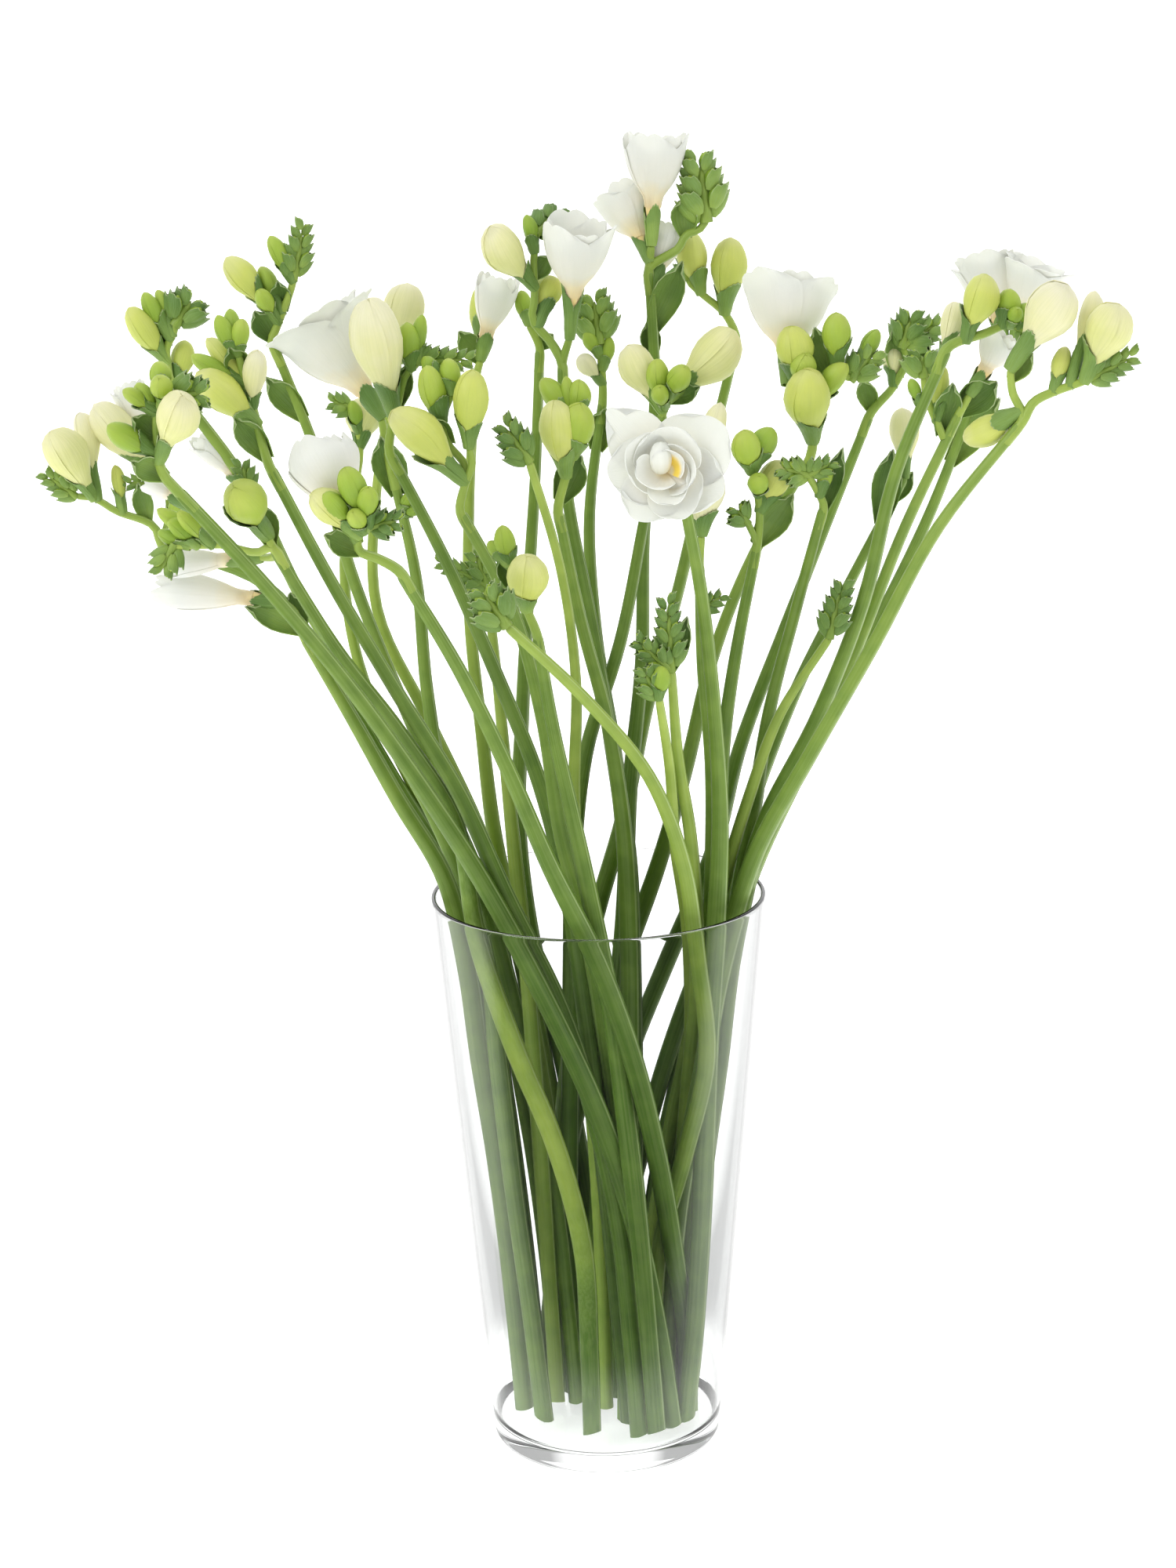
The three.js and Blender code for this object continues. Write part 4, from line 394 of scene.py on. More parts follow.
# ---- places and paths
def seen(place):
    """A place across and up on the upright plane, moved to its depth along the line of sight."""
    across, up, depth = place
    return EYE + (np.array((across, 0.0, up)) - EYE) * ((depth - EYE[1]) / -EYE[1])


def foot_place(foot, half):
    """Where a stem stands on the floor of the vase."""
    across, depth = foot
    place = np.array((EYE[0] + (across - EYE[0]) * (depth - EYE[1]) / -EYE[1], float(depth)))
    reach = np.linalg.norm(place)
    place *= min(1.0, (FLOOR_RADIUS - half) / max(reach, TINY))
    return np.array((place[0], place[1], FLOOR - FOOT_TRIM))


def inside_radius(height):
    """How far the inside of the vase reaches from its axis at a height."""
    low = BASE_RADIUS - WALL - INSIDE_CORNER
    high = RIM_RADIUS - WALL - LIP
    return low + (high - low) * np.clip((height - FLOOR) / (VASE_HEIGHT - FLOOR), 0, 1)


def eased(at, pairs):
    """A smooth curve through (place, value) pairs."""
    places, values = np.array(pairs, float).T
    slopes = np.gradient(values, places)
    slopes[0] = (values[1] - values[0]) / (places[1] - places[0])
    i = np.clip(np.searchsorted(places, at, "right") - 1, 0, len(places) - 2)
    span = places[i + 1] - places[i]
    t = np.clip((at - places[i]) / span, 0, 1)
    return (values[i] * (1 + 2 * t) * (1 - t) ** 2 + span * slopes[i] * t * (1 - t) ** 2
            + values[i + 1] * t * t * (3 - 2 * t) + span * slopes[i + 1] * t * t * (t - 1))


def curve_at(points, shares):
    """A centripetal curve through points, at shares of its parameter."""
    points = np.asarray(points, float)
    before = 2 * points[0] - points[1]
    after = 2 * points[-1] - points[-2]
    line = np.vstack((before, points, after))
    spans = len(points) - 1
    at = np.clip(np.asarray(shares, float), 0, 1) * spans
    i = np.minimum(at.astype(int), spans - 1)
    weight = (at - i)[:, None]
    p0, p1, p2, p3 = (line[i + k] for k in range(4))

    def knot(a, b):
        return (((b - a) ** 2).sum(1) ** 0.25)[:, None]

    d1 = knot(p1, p2)
    d1 = np.where(d1 < 1e-4, 1.0, d1)
    d0 = knot(p0, p1)
    d0 = np.where(d0 < 1e-4, d1, d0)
    d2 = knot(p2, p3)
    d2 = np.where(d2 < 1e-4, d1, d2)
    t1 = ((p1 - p0) / d0 - (p2 - p0) / (d0 + d1) + (p2 - p1) / d1) * d1
    t2 = ((p2 - p1) / d1 - (p3 - p1) / (d1 + d2) + (p3 - p2) / d2) * d1
    return (p1 + t1 * weight + (3 * (p2 - p1) - 2 * t1 - t2) * weight ** 2
            + (2 * (p1 - p2) + t1 + t2) * weight ** 3)


def spaced(points, steps):
    """Places at even lengths along the curve."""
    shares = np.linspace(0, 1, 201)
    line = curve_at(points, shares)
    lengths = np.concatenate(([0], np.cumsum(np.linalg.norm(np.diff(line, axis=0), axis=1))))
    wanted = np.interp(np.linspace(0, lengths[-1], steps + 1), lengths, shares)
    return curve_at(points, wanted)


def nearest_on(lines, place):
    """The place nearest to a given one on any of the lines."""
    best, least = None, 1e9
    for line in lines:
        start, along = line[:-1], np.diff(line, axis=0)
        share = ((place - start) * along).sum(1) / np.maximum((along ** 2).sum(1), TINY)
        spots = start + along * np.clip(share, 0, 1)[:, None]
        away = np.linalg.norm(spots - place, axis=1)
        if away.min() < least:
            best, least = spots[away.argmin()], away.min()
    return best


# ---- settling the stems among each other
# The stretches of each kind of spray part that push others away: from and to as shares of its length,
# and the radius as a share of its width plus a fixed amount.
LIMBS = {
    "f": [(0, 0.45, 0, 4.6), (0.5, 0.88, 0.42, 0.5)],
    "o": [(0.3, 0.75, 0.4, 0), (0.75, 1.1, 0.46, 0)],
    "t": [(0, 0.9, 0.62, 0.4)],
    "l": [(0.05, 0.95, 0.42, 0.3)],
    "c": [(0, 0.35, 0.36, 1.2), (0.4, 0.8, 0.5, 0)],
}
LIMBS["g"] = LIMBS["y"] = LIMBS["c"]


def part_places(part, neck_depth):
    """The base and tip of a part of a spray, and its width."""
    _, base_across, base_up, tip_across, tip_up, width, offset, lean = part
    base = seen((base_across, base_up, neck_depth + offset))
    tip = seen((tip_across, tip_up, neck_depth + offset + lean))
    return base, tip, width


class Strand:
    """A stem's centreline as a chain of places, with the stretches of its spray."""

    def __init__(self, row):
        self.name, self.half, foot, places, self.spray = row
        self.neck_depth = places[-1][2]
        self.rest = spaced([foot_place(foot, self.half)] + [seen(p) for p in places], STEM_STEPS)
        self.nodes = self.rest.copy()
        self.limbs = []
        for part in self.spray:
            if part[0] == "x":
                line = [seen((a, u, self.neck_depth + d)) for a, u, d in part[2]]
                self.limbs += [(line[i], line[i + 1], part[1]) for i in range(len(line) - 1)]
            else:
                base, tip, width = part_places(part, self.neck_depth)
                reach = tip - base
                for start, end, share, more in LIMBS[part[0].lower()]:
                    self.limbs.append((base + reach * start, base + reach * end, share * width + more))

    def shift(self):
        """How far settling has moved the neck, and its spray with it."""
        return self.nodes[-1] - self.rest[-1]


def all_stretches(strands):
    """The ends of every stretch of every stem and spray."""
    starts, ends = [], []
    for strand in strands:
        starts.append(strand.nodes[:-1])
        ends.append(strand.nodes[1:])
        if strand.limbs:
            starts.append(np.array([limb[0] for limb in strand.limbs]) + strand.shift())
            ends.append(np.array([limb[1] for limb in strand.limbs]) + strand.shift())
    return np.vstack(starts), np.vstack(ends)


def closest_shares(a0, a1, b0, b1):
    """Where pairs of straight stretches come closest, as shares of the one and of the other."""
    along, other, between = a1 - a0, b1 - b0, a0 - b0
    a = np.maximum((along ** 2).sum(1), TINY)
    e = np.maximum((other ** 2).sum(1), TINY)
    b = (along * other).sum(1)
    c = (along * between).sum(1)
    f = (other * between).sum(1)
    skew = a * e - b * b
    s = np.where(skew > TINY, np.clip((b * f - c * e) / np.where(skew > TINY, skew, 1), 0, 1), 0)
    t = (b * s + f) / e
    s = np.where(t < 0, np.clip(-c / a, 0, 1), np.where(t > 1, np.clip((b - c) / a, 0, 1), s))
    return s, np.clip(t, 0, 1)


def gaps(starts, ends, one, two):
    """Where pairs of stretches come closest, as shares of them, and the way from the second to the first."""
    s, t = closest_shares(starts[one], ends[one], starts[two], ends[two])
    apart = (starts[one] + (ends[one] - starts[one]) * s[:, None]
             - starts[two] - (ends[two] - starts[two]) * t[:, None])
    return s, t, apart


def settle(strands):
    """Moves the stems apart a little at a time, mostly in depth, for a set number of rounds, wherever they or
    their sprays come too close.
    """
    owner, first, second, radius = [], [], [], []
    for i, strand in enumerate(strands):
        for k in range(STEM_STEPS):
            owner.append(i)
            first.append(k)
            second.append(k + 1)
            radius.append(strand.half)
        for limb in strand.limbs:
            owner.append(i)
            first.append(STEM_STEPS)
            second.append(STEM_STEPS)
            radius.append(limb[2])
    owner, first, second, radius = (np.array(x) for x in (owner, first, second, radius))
    depths = np.array([strand.neck_depth for strand in strands])
    one, two = np.triu_indices(len(owner), 1)
    other_stem = owner[one] != owner[two]
    one, two = one[other_stem], two[other_stem]
    for step in range(SETTLE_ROUNDS):
        starts, ends = all_stretches(strands)
        if step % WATCH_ROUNDS == 0:
            apart = gaps(starts, ends, one, two)[2]
            near = np.linalg.norm(apart, axis=1) < radius[one] + radius[two] + WATCHED
            i, j = one[near], two[near]
        s, t, apart = gaps(starts, ends, i, j)
        distance = np.maximum(np.linalg.norm(apart, axis=1), TINY)
        need = radius[i] + radius[j] + SETTLE_GAP - distance
        tight = need > 0
        a, b, s, t, need = i[tight], j[tight], s[tight], t[tight], need[tight]
        apart = apart[tight] / distance[tight][:, None]
        order = np.where(depths[owner[a]] < depths[owner[b]], -1.0, 1.0)
        side = np.where(np.abs(apart[:, 1]) > LEVEL, np.sign(apart[:, 1]), order)
        deep = side * np.maximum(np.abs(apart[:, 1]), LEAST_DEPTH_SHARE)
        push = np.stack((apart[:, 0] * SIDEWAYS_SHARE, deep, apart[:, 2] * UPRIGHT_SHARE), 1)
        push *= (need / 2)[:, None]
        pushes = np.zeros((len(strands), STEM_STEPS + 1, 3))
        np.add.at(pushes, (owner[a], first[a]), push * (1 - s)[:, None])
        np.add.at(pushes, (owner[a], second[a]), push * s[:, None])
        np.add.at(pushes, (owner[b], first[b]), push * (t - 1)[:, None])
        np.add.at(pushes, (owner[b], second[b]), push * -t[:, None])
        for k, strand in enumerate(strands):
            move_strand(strand, pushes[k])


def move_strand(strand, pushes):
    """Moves a stem by its pushes, each no larger than is allowed, and smooths it."""
    sizes = np.linalg.norm(pushes, axis=1)
    pushes = pushes * (np.minimum(sizes, LARGEST_PUSH) / np.maximum(sizes, TINY))[:, None]
    moves = strand.nodes - strand.rest + pushes
    before = np.vstack((moves[:1], moves[:-1]))
    after = np.vstack((moves[1:], moves[-1:]))
    strand.nodes = strand.rest + moves + ((before + after) / 2 - moves) * SMOOTHING
    strand.nodes[0, 2] = strand.rest[0, 2]
    keep_inside(strand)


def keep_inside(strand):
    """The stem stays inside the vase's wall, and crosses the rim inside it."""
    nodes = strand.nodes
    for k, node in enumerate(nodes):
        if node[2] < VASE_HEIGHT:
            limit = FLOOR_RADIUS - strand.half
            if k > 0:
                limit = inside_radius(node[2]) - strand.half - WALL_CLEARANCE
            node[:2] *= min(1.0, limit / max(math.hypot(node[0], node[1]), TINY))
    for k in range(len(nodes) - 1):
        low, high = nodes[k], nodes[k + 1]
        if low[2] < VASE_HEIGHT <= high[2]:
            crossing = (low + (high - low) * ((VASE_HEIGHT - low[2]) / (high[2] - low[2])))[:2]
            reach = np.linalg.norm(crossing)
            excess = max(reach - (inside_radius(VASE_HEIGHT) - strand.half - RIM_CLEARANCE), 0.0)
            low[:2] -= crossing * (excess / reach)
            high[:2] -= crossing * (excess / reach)


# ---- modelling by hand
# In millimetres, how near points are welded, and the angle up to which faces are shaded as one.
WELD = 0.02
SMOOTH_ANGLE = math.radians(60)


def mode(name):
    bpy.ops.object.mode_set(mode=name)


def clear_selection():
    if bpy.context.object and bpy.context.object.mode != "OBJECT":
        mode("OBJECT")
    bpy.ops.object.select_all(action="DESELECT")


def choose(obj):
    """Makes an object the only selected and the active one."""
    clear_selection()
    obj.select_set(True)
    bpy.context.view_layer.objects.active = obj


def apply_modifiers(obj):
    choose(obj)
    for modifier in list(obj.modifiers):
        bpy.ops.object.modifier_apply(modifier=modifier.name)


class Blank:
    """A flat sheet of even faces, modelled once: u runs across it from -1 to 1, v along it from 0 to 1."""

    def __init__(self, across, along):
        clear_selection()
        bpy.ops.mesh.primitive_grid_add(x_subdivisions=across, y_subdivisions=along, size=2)
        self.obj = bpy.context.object
        self.obj.name = "blank_%dx%d" % (across, along)
        mesh = self.obj.data
        flat = np.empty(len(mesh.vertices) * 3, np.float32)
        mesh.vertices.foreach_get("co", flat)
        flat = flat.reshape(-1, 3).astype(float)
        self.u, self.v = flat[:, 0], (flat[:, 1] + 1) / 2
        self.corners = np.empty(len(mesh.loops), np.int32)
        mesh.loops.foreach_get("vertex_index", self.corners)

    def copy(self, places, finish, tone, uv=None):
        """A copy with its own mesh, shaped to places in millimetres, with a finish and a tone of colour."""
        mesh = self.obj.data.copy()
        mesh.vertices.foreach_set("co", (np.asarray(places) * MM).astype(np.float32).ravel())
        across, along = uv if uv is not None else ((self.u + 1) / 2, self.v)
        both = np.stack([np.broadcast_to(values, self.u.shape) for values in (across, along)], 1)
        mesh.uv_layers[0].data.foreach_set("uv", both[self.corners].astype(np.float32).ravel())
        tones = mesh.attributes.new("tone", "FLOAT", "POINT")
        tones.data.foreach_set("value", np.broadcast_to(tone, self.u.shape).astype(np.float32).copy())
        mesh.materials.append(finish)
        copy = bpy.data.objects.new("part", mesh)
        bpy.context.scene.collection.objects.link(copy)
        return copy

    def put_away(self):
        mesh = self.obj.data
        bpy.data.objects.remove(self.obj)
        bpy.data.meshes.remove(mesh)


class Stand:
    """Where a part stands: its root, and the directions across it, out towards the front, and along it."""

    def __init__(self, root, tip, roll=0.0):
        self.root = root
        self.along = (tip - root) / np.linalg.norm(tip - root)
        sight = (root - EYE) / np.linalg.norm(root - EYE)
        side = np.cross(self.along, sight)
        if np.linalg.norm(side) < 0.05:
            side = np.cross(self.along, (0.0, 0.0, 1.0))
        side /= np.linalg.norm(side)
        out = np.cross(side, self.along)
        self.side = side * math.cos(roll) + out * math.sin(roll)
        self.out = np.cross(self.side, self.along)

    def put(self, x, y, z):
        """Places at distances across, out and along."""
        x, y, z = np.broadcast_arrays(x, y, z)
        return self.root + x[:, None] * self.side + y[:, None] * self.out + z[:, None] * self.along

    def around(self, angle, radius, height):
        """Places round the axis, with angle 0 at the front."""
        return self.put(radius * np.sin(angle), radius * np.cos(angle), height)


def join(parts, name):
    """Joins parts into one object."""
    clear_selection()
    for part in parts:
        part.select_set(True)
    bpy.context.view_layer.objects.active = parts[0]
    if len(parts) > 1:
        bpy.ops.object.join()
    joined = bpy.context.view_layer.objects.active
    joined.name = joined.data.name = name
    return joined


def close_bodies(body, foot_cut=None):
    """Welds the seams and poles of closed bodies, turns their faces out, and cuts the foot off at a slant."""
    choose(body)
    mode("EDIT")
    bpy.ops.mesh.select_all(action="SELECT")
    bpy.ops.mesh.remove_doubles(threshold=WELD * MM)
    bpy.ops.mesh.normals_make_consistent(inside=False)
    if foot_cut is not None:
        bpy.ops.mesh.select_all(action="SELECT")
        place, slant = foot_cut
        bpy.ops.mesh.bisect(plane_co=place, plane_no=slant, clear_inner=True, use_fill=True)
    mode("OBJECT")


def finished(name, bodies, sheets, thickness, foot_cut=None):
    """Joins closed bodies and thin sheets into one piece. The sheets get their thickness in metres first."""
    ready = []
    if sheets:
        leaf = join(sheets, name + "_sheets")
        wall = leaf.modifiers.new("Thickness", "SOLIDIFY")
        wall.thickness = thickness
        wall.offset = 0.0
        apply_modifiers(leaf)
        ready.append(leaf)
    if bodies:
        body = join(bodies, name + "_bodies")
        close_bodies(body, foot_cut)
        ready.append(body)
    piece = join(ready, name)
    choose(piece)
    bpy.ops.object.shade_smooth_by_angle(angle=SMOOTH_ANGLE)
    return piece


# ---- the parts of a spray
# Half widths of a green, a half ripe and a ripe bud along their lengths, as shares.
BUD_PROFILES = {
    "g": [(0, 0.38), (0.12, 0.54), (0.3, 0.83), (0.46, 0.98), (0.56, 1.0), (0.72, 0.9), (0.86, 0.67),
          (0.95, 0.4), (1, 0.02)],
    "y": [(0, 0.32), (0.12, 0.43), (0.28, 0.69), (0.44, 0.93), (0.55, 1.0), (0.71, 0.93), (0.85, 0.72),
          (0.95, 0.43), (1, 0.02)],
    "c": [(0, 0.26), (0.12, 0.35), (0.28, 0.6), (0.43, 0.87), (0.56, 1.0), (0.72, 0.96), (0.86, 0.77),
          (0.95, 0.5), (1, 0.02)],
}
# How much of a bud its bracts cover, how much of a flower, and at most how many millimetres of one.
BRACT_SHARES = {"g": 0.38, "y": 0.34, "c": 0.3}
FLOWER_BRACT_SHARE = 0.3
FLOWER_BRACT_MOST = 12.0
BRACT_ROOT = 1.5
# How many teeth the end of a bract and of a scale has on each side of its middle, and how far bracts and pods
# start below the place that they grow from.
BRACT_TEETH = 3.5
SCALE_TEETH = 2
ROOT_DEPTH = 0.8


def towards_tip(v):
    """Even shares drawn closer together towards the tip."""
    return 1 - (1 - v) ** 1.5


def teeth(u, count):
    """A row of teeth across a sheet, from 0 between them to 1 at their points."""
    return np.abs((u * count + 0.5) % 1.0 - 0.5) * 2


def pinched(v):
    """A share that closes both ends of a tube, and leaves the rest as it is."""
    return np.where((v > 0.999) | (v < 0.001), 0.02, 1.0)


def bud(kit, stand, foot, length, width, ripeness, chance, profile):
    """A closed bud: a core, and three petals that wrap it, each with one edge over the next."""
    settings = kit.settings.spray
    turn = chance.uniform(0, TAU)
    bend = chance.uniform(-0.06, 0.06)
    u, v = kit.petal_small.u, towards_tip(kit.petal_small.v)
    for k in range(3):
        reach = eased(v, [(0, 1.25), (0.5, 1.28), (0.8, 1.2), (1, 1.12)])
        angle = turn + k * TAU / 3 + reach * u + settings.bud_twist * v
        step = settings.bud_seam * u - 0.016 * np.cos(math.pi * u) * np.sin(math.pi * v)
        at = np.clip(v * (1 - 0.025 * np.abs(u) ** 2 * v ** 3), 0, 1)
        radius = width / 2 * eased(at, profile) * (1 + step)
        height = foot + length * (at + 0.008 * (k - 1) * v ** 3)
        places = stand.around(angle, radius, height)
        places += np.outer(bend * length * np.sin(math.pi * v), stand.side)
        kit.sheets.append(kit.petal_small.copy(places, kit.finishes["bud"], ripeness))
    u, v = kit.core.u, towards_tip(kit.core.v)
    radius = (0.975 + 0.025 * v ** 4) * width / 2 * eased(v, profile)
    places = stand.around(math.pi * u, radius, foot + 0.998 * length * v)
    places += np.outer(bend * length * np.sin(math.pi * v), stand.side)
    kit.bodies.append(kit.core.copy(places, kit.finishes["bud"], ripeness))


def bracts(kit, stand, outline, rim, tone, chance):
    """Two boat-shaped bracts that clasp the foot of a bud or bloom, the outer one taller, with toothed ends.

    outline gives how wide the bud or bloom is at a height, and the bracts lie close against it.
    """
    u, v = kit.bract.u, kit.bract.v
    turn = chance.uniform(0, TAU)
    saw = teeth(u, BRACT_TEETH)
    for k, (reach, share, gap) in enumerate(((1.75, 1.12, 0.5), (1.65, 0.95, 0.3))):
        wide = eased(v, [(0, 1.15), (0.4, 1.02), (0.8, 0.9), (1, 0.62)])
        angle = turn + k * math.pi + reach * wide * u
        top = 1 - (0.3 + 0.05 * k) * np.abs(u) ** 1.7 * v ** 2 - 0.04 * saw * v ** 6
        height = -ROOT_DEPTH + (rim * share + ROOT_DEPTH) * v * top * chance.uniform(0.94, 1.06)
        radius = np.maximum(outline(height), BRACT_ROOT) + gap * (0.7 + 0.5 * v ** 3) + 0.1 * u
        radius = radius * eased(v, [(0, 0.8), (0.15, 1.0), (1, 1.0)])
        places = stand.around(angle, radius, height)
        kit.sheets.append(kit.bract.copy(places, kit.finishes["bract"], tone))


def leaf(kit, stand, length, width, tone, chance):
    """A leafy bract: a cupped, pointed blade with a toothed end, clasping its stem at the root."""
    u, v = kit.bract.u, kit.bract.v
    half = width / 2 * eased(v, [(0, 0.42), (0.15, 0.66), (0.42, 1.0), (0.66, 0.98), (0.88, 0.6), (1, 0.2)])
    cup = eased(v, [(0, 1.5), (0.5, 1.25), (1, 0.9)])
    saw = teeth(u, BRACT_TEETH)
    x = half * np.sin(cup * u) / np.sin(cup)
    y = half * (np.cos(cup * u) - np.cos(cup)) / np.sin(cup) + 1.2 * (1 - v) - 0.6
    y -= chance.uniform(0.0, 0.1) * length * v * v
    z = -ROOT_DEPTH + (length + ROOT_DEPTH) * (v - 0.12 * v ** 3 * u ** 2 - 0.045 * saw * v ** 6)
    kit.sheets.append(kit.bract.copy(stand.put(x, y, z), kit.finishes["bract"], tone))


def scaly_tip(kit, stand, length, width, chance):
    """The tip of a spray: plump pods in two rows that close over one another, each in a pale-edged scale."""
    count = int(np.clip(round(length / 2.1), 5, 14))
    tone = chance.uniform(0.3, 0.65)
    bend = chance.uniform(-0.05, 0.05) * length
    for i in range(count):
        share = i / count
        row = -1 if i % 2 else 1
        size = 1 - 0.42 * share ** 1.4
        pod_length = (0.5 * width + 2.2) * size
        half = 0.21 * width * size
        lean = (0.42 - 0.22 * share) * row
        foot = share * (length - 0.8 * pod_length)
        depth = 0.1 * width * size * (1 if i % 4 < 2 else -1)
        start = (stand.root + stand.side * (0.19 * width * size * row + bend * share ** 2)
                 + stand.along * foot + stand.out * depth)
        along = stand.side * math.sin(lean) + stand.along * math.cos(lean)
        pod = Stand(start, start + along)
        pod.side, pod.out = stand.side * math.cos(lean) - stand.along * math.sin(lean), stand.out
        u, v = kit.pod.u, kit.pod.v
        radius = half * eased(v, [(0, 0.3), (0.25, 0.8), (0.55, 1.0), (0.85, 0.7), (1, 0.1)])
        places = pod.put(radius * np.sin(math.pi * u), 0.9 * radius * np.cos(math.pi * u), pod_length * v)
        kit.bodies.append(kit.pod.copy(places, kit.finishes["bud"], 0.02 + 0.1 * chance.random()))
        u, v = kit.scale.u, kit.scale.v
        reach = eased(v, [(0, 2.6), (0.5, 2.45), (1, 1.9)])
        saw = teeth(u, SCALE_TEETH)
        radius = (half + 0.25) * eased(v, [(0, 0.45), (0.3, 0.92), (0.65, 1.1), (1, 1.0)])
        radius = radius * (1 + 0.22 * np.maximum(0, 1 - (u / 0.3) ** 2) * v)
        height = pod_length * (-0.05 + 0.98 * v * (1 + (0.26 * (1 - np.abs(u)) - 0.09 * saw) * v ** 3))
        angle = 0.5 * math.pi * row + reach * u
        places = pod.put(radius * np.sin(angle), 0.95 * radius * np.cos(angle), height)
        shade = tone + chance.uniform(-0.08, 0.08)
        kit.sheets.append(kit.scale.copy(places, kit.finishes["bract"], shade))
    u, v = kit.pod.u, kit.pod.v
    radius = 0.16 * width * (1 - 0.6 * v) + 0.3
    places = stand.around(math.pi * u, radius * np.minimum(1, (1 - v) * 8), 0.8 * length * v - ROOT_DEPTH)
    kit.bodies.append(kit.pod.copy(places, kit.finishes["stem"], 0.5))


# Where the petals of a funnel flower part from its tube, as a share of its length, and their tone of colour.
PETAL_START = 0.2
PETAL_TONE = 0.4


def tube_radius(width, share):
    """How thick the tube of a flower is at a share of its length."""
    return 1.9 + (0.4 + 0.055 * width) * np.asarray(share) / 0.3


def funnel(kit, stand, foot, length, width, flare, turn, chance):
    """A funnel flower: a narrow tube that opens into three outer and three inner petals."""
    u, v = kit.petal.u, kit.petal.v
    low = float(tube_radius(width, PETAL_START)) / width
    share = PETAL_START + (1 - PETAL_START) * v
    for ring, (wide, phase) in enumerate(((0.5, 0.0), (0.44, 0.5))):
        for k in range(3):
            lift = chance.uniform(-0.045, 0.045)
            opening = flare * chance.uniform(0.8, 1.2)
            rim = wide * (1 + 0.3 * min(opening, 0))
            notch = 0.05 * np.exp(-(u / 0.16) ** 2) * v ** 8
            at = share * (1 - 0.17 * v ** 4 * np.abs(u) ** 2.4 - notch)
            line = [(PETAL_START, low), (0.3, 0.35 * low + 0.11), (0.45, wide * 0.62), (0.6, wide * 0.84),
                    (0.78, wide * 0.97), (1.0, rim)]
            radius = width * eased(at, line)
            reach = eased(share, [(PETAL_START, 1.3), (0.5, 1.28), (0.72, 1.22), (0.88, 1.08), (1.0, 0.72)])
            angle = turn + (k + phase) * TAU / 3 + reach * u * (1 - 0.05 * ring)
            fold = 1 - 0.04 * np.abs(u) ** 2 * v + 0.035 * u - 0.03 * np.exp(-(u / 0.22) ** 2) * v
            curl = np.maximum(at - 0.66, 0) / 0.34
            radius = radius * fold * (1 - 0.05 * ring) + 0.2 * width * max(opening, 0) * curl ** 2
            radius = radius + 0.012 * width * np.sin(5 * u + 5 * v + k * 2 + ring) * v ** 3
            radius = radius + 0.008 * width * np.sin(13 * u + 3 * k + ring) * v ** 7
            height = foot + length * at * (1 + lift * v) - 0.12 * length * max(opening, 0) * curl ** 2.5
            places = stand.around(angle, radius, height)
            on_petal = ((u + 1) / 2, share)
            kit.sheets.append(kit.petal.copy(places, kit.finishes["petal"], PETAL_TONE + lift, on_petal))
    u, v = kit.core.u, kit.core.v
    share = 0.42 * v
    radius = 0.96 * tube_radius(width, np.minimum(share, 0.3)) * pinched(v)
    places = stand.around(math.pi * u, radius, foot + length * np.minimum(share, 0.37))
    kit.bodies.append(kit.core.copy(places, kit.finishes["petal"], PETAL_TONE, ((u + 1) / 2, share)))


# Petals of the double flower, outermost first. Each row: degrees clockwise from the top, height of its root
# as a share of the length, how far it leans out at the root and the tip, its reach and half width as shares
# of the width, how pointed it is from 0 to 1, how far one edge stands over the other, and how yellow it
# is at its root.
ROSETTE = [
    (318, 0.3, 0.95, 1.5, 0.8, 0.3, 0.45, 0.03, 0.4),
    (48, 0.32, 0.95, 1.5, 0.67, 0.42, 0.0, 0.06, 0.4),
    (108, 0.36, 0.9, 1.5, 0.56, 0.36, 0.1, 0.05, 0.4),
    (268, 0.38, 0.85, 1.45, 0.53, 0.38, 0.1, 0.08, 0.4),
    (206, 0.42, 0.85, 1.5, 0.51, 0.33, 0.0, 0.08, 0.4),
    (150, 0.46, 0.85, 1.4, 0.47, 0.32, 0.0, 0.08, 0.4),
    (4, 0.55, 1.3, 0.45, 0.44, 0.42, 0.0, 0.1, 0.4),
    (285, 0.58, 1.3, 0.5, 0.42, 0.34, 0.0, 0.12, 0.5),
    (84, 0.6, 1.3, 0.4, 0.4, 0.33, 0.0, 0.12, 0.75),
    (146, 0.64, 1.2, 0.8, 0.39, 0.28, 0.1, 0.2, 0.5),
    (228, 0.66, 1.3, 0.25, 0.36, 0.27, 0.0, 0.16, 0.5),
    (38, 0.7, 1.3, 0.1, 0.29, 0.24, 0.0, 0.14, 1.0),
]
# Petals rooted from this height on are the inner ones, and how far from the axis both kinds start.
INNER_HEIGHT = 0.6
OUTER_START = 0.06
INNER_START = 0.012


def rosette(kit, bract_place, foot, length, width):
    """A double flower facing the viewer: rounded petals that overlap in a swirl, closed over the throat."""
    tip = bract_place.root + bract_place.along * (foot + length) - np.array((0.0, 0.0, 3.5))
    sight = (tip - EYE) / np.linalg.norm(tip - EYE)
    along = 0.4 * bract_place.along - 0.6 * sight
    stand = Stand(tip - along / np.linalg.norm(along) * length, tip)
    stand.side = np.array((1.0, 0.0, 0.0)) - stand.along * stand.along[0]
    stand.side /= np.linalg.norm(stand.side)
    stand.out = np.cross(stand.along, stand.side)
    for row in ROSETTE:
        rosette_petal(kit, stand, length, width, row)
    rosette_heart(kit, stand, bract_place.root + bract_place.along * foot, length, width)


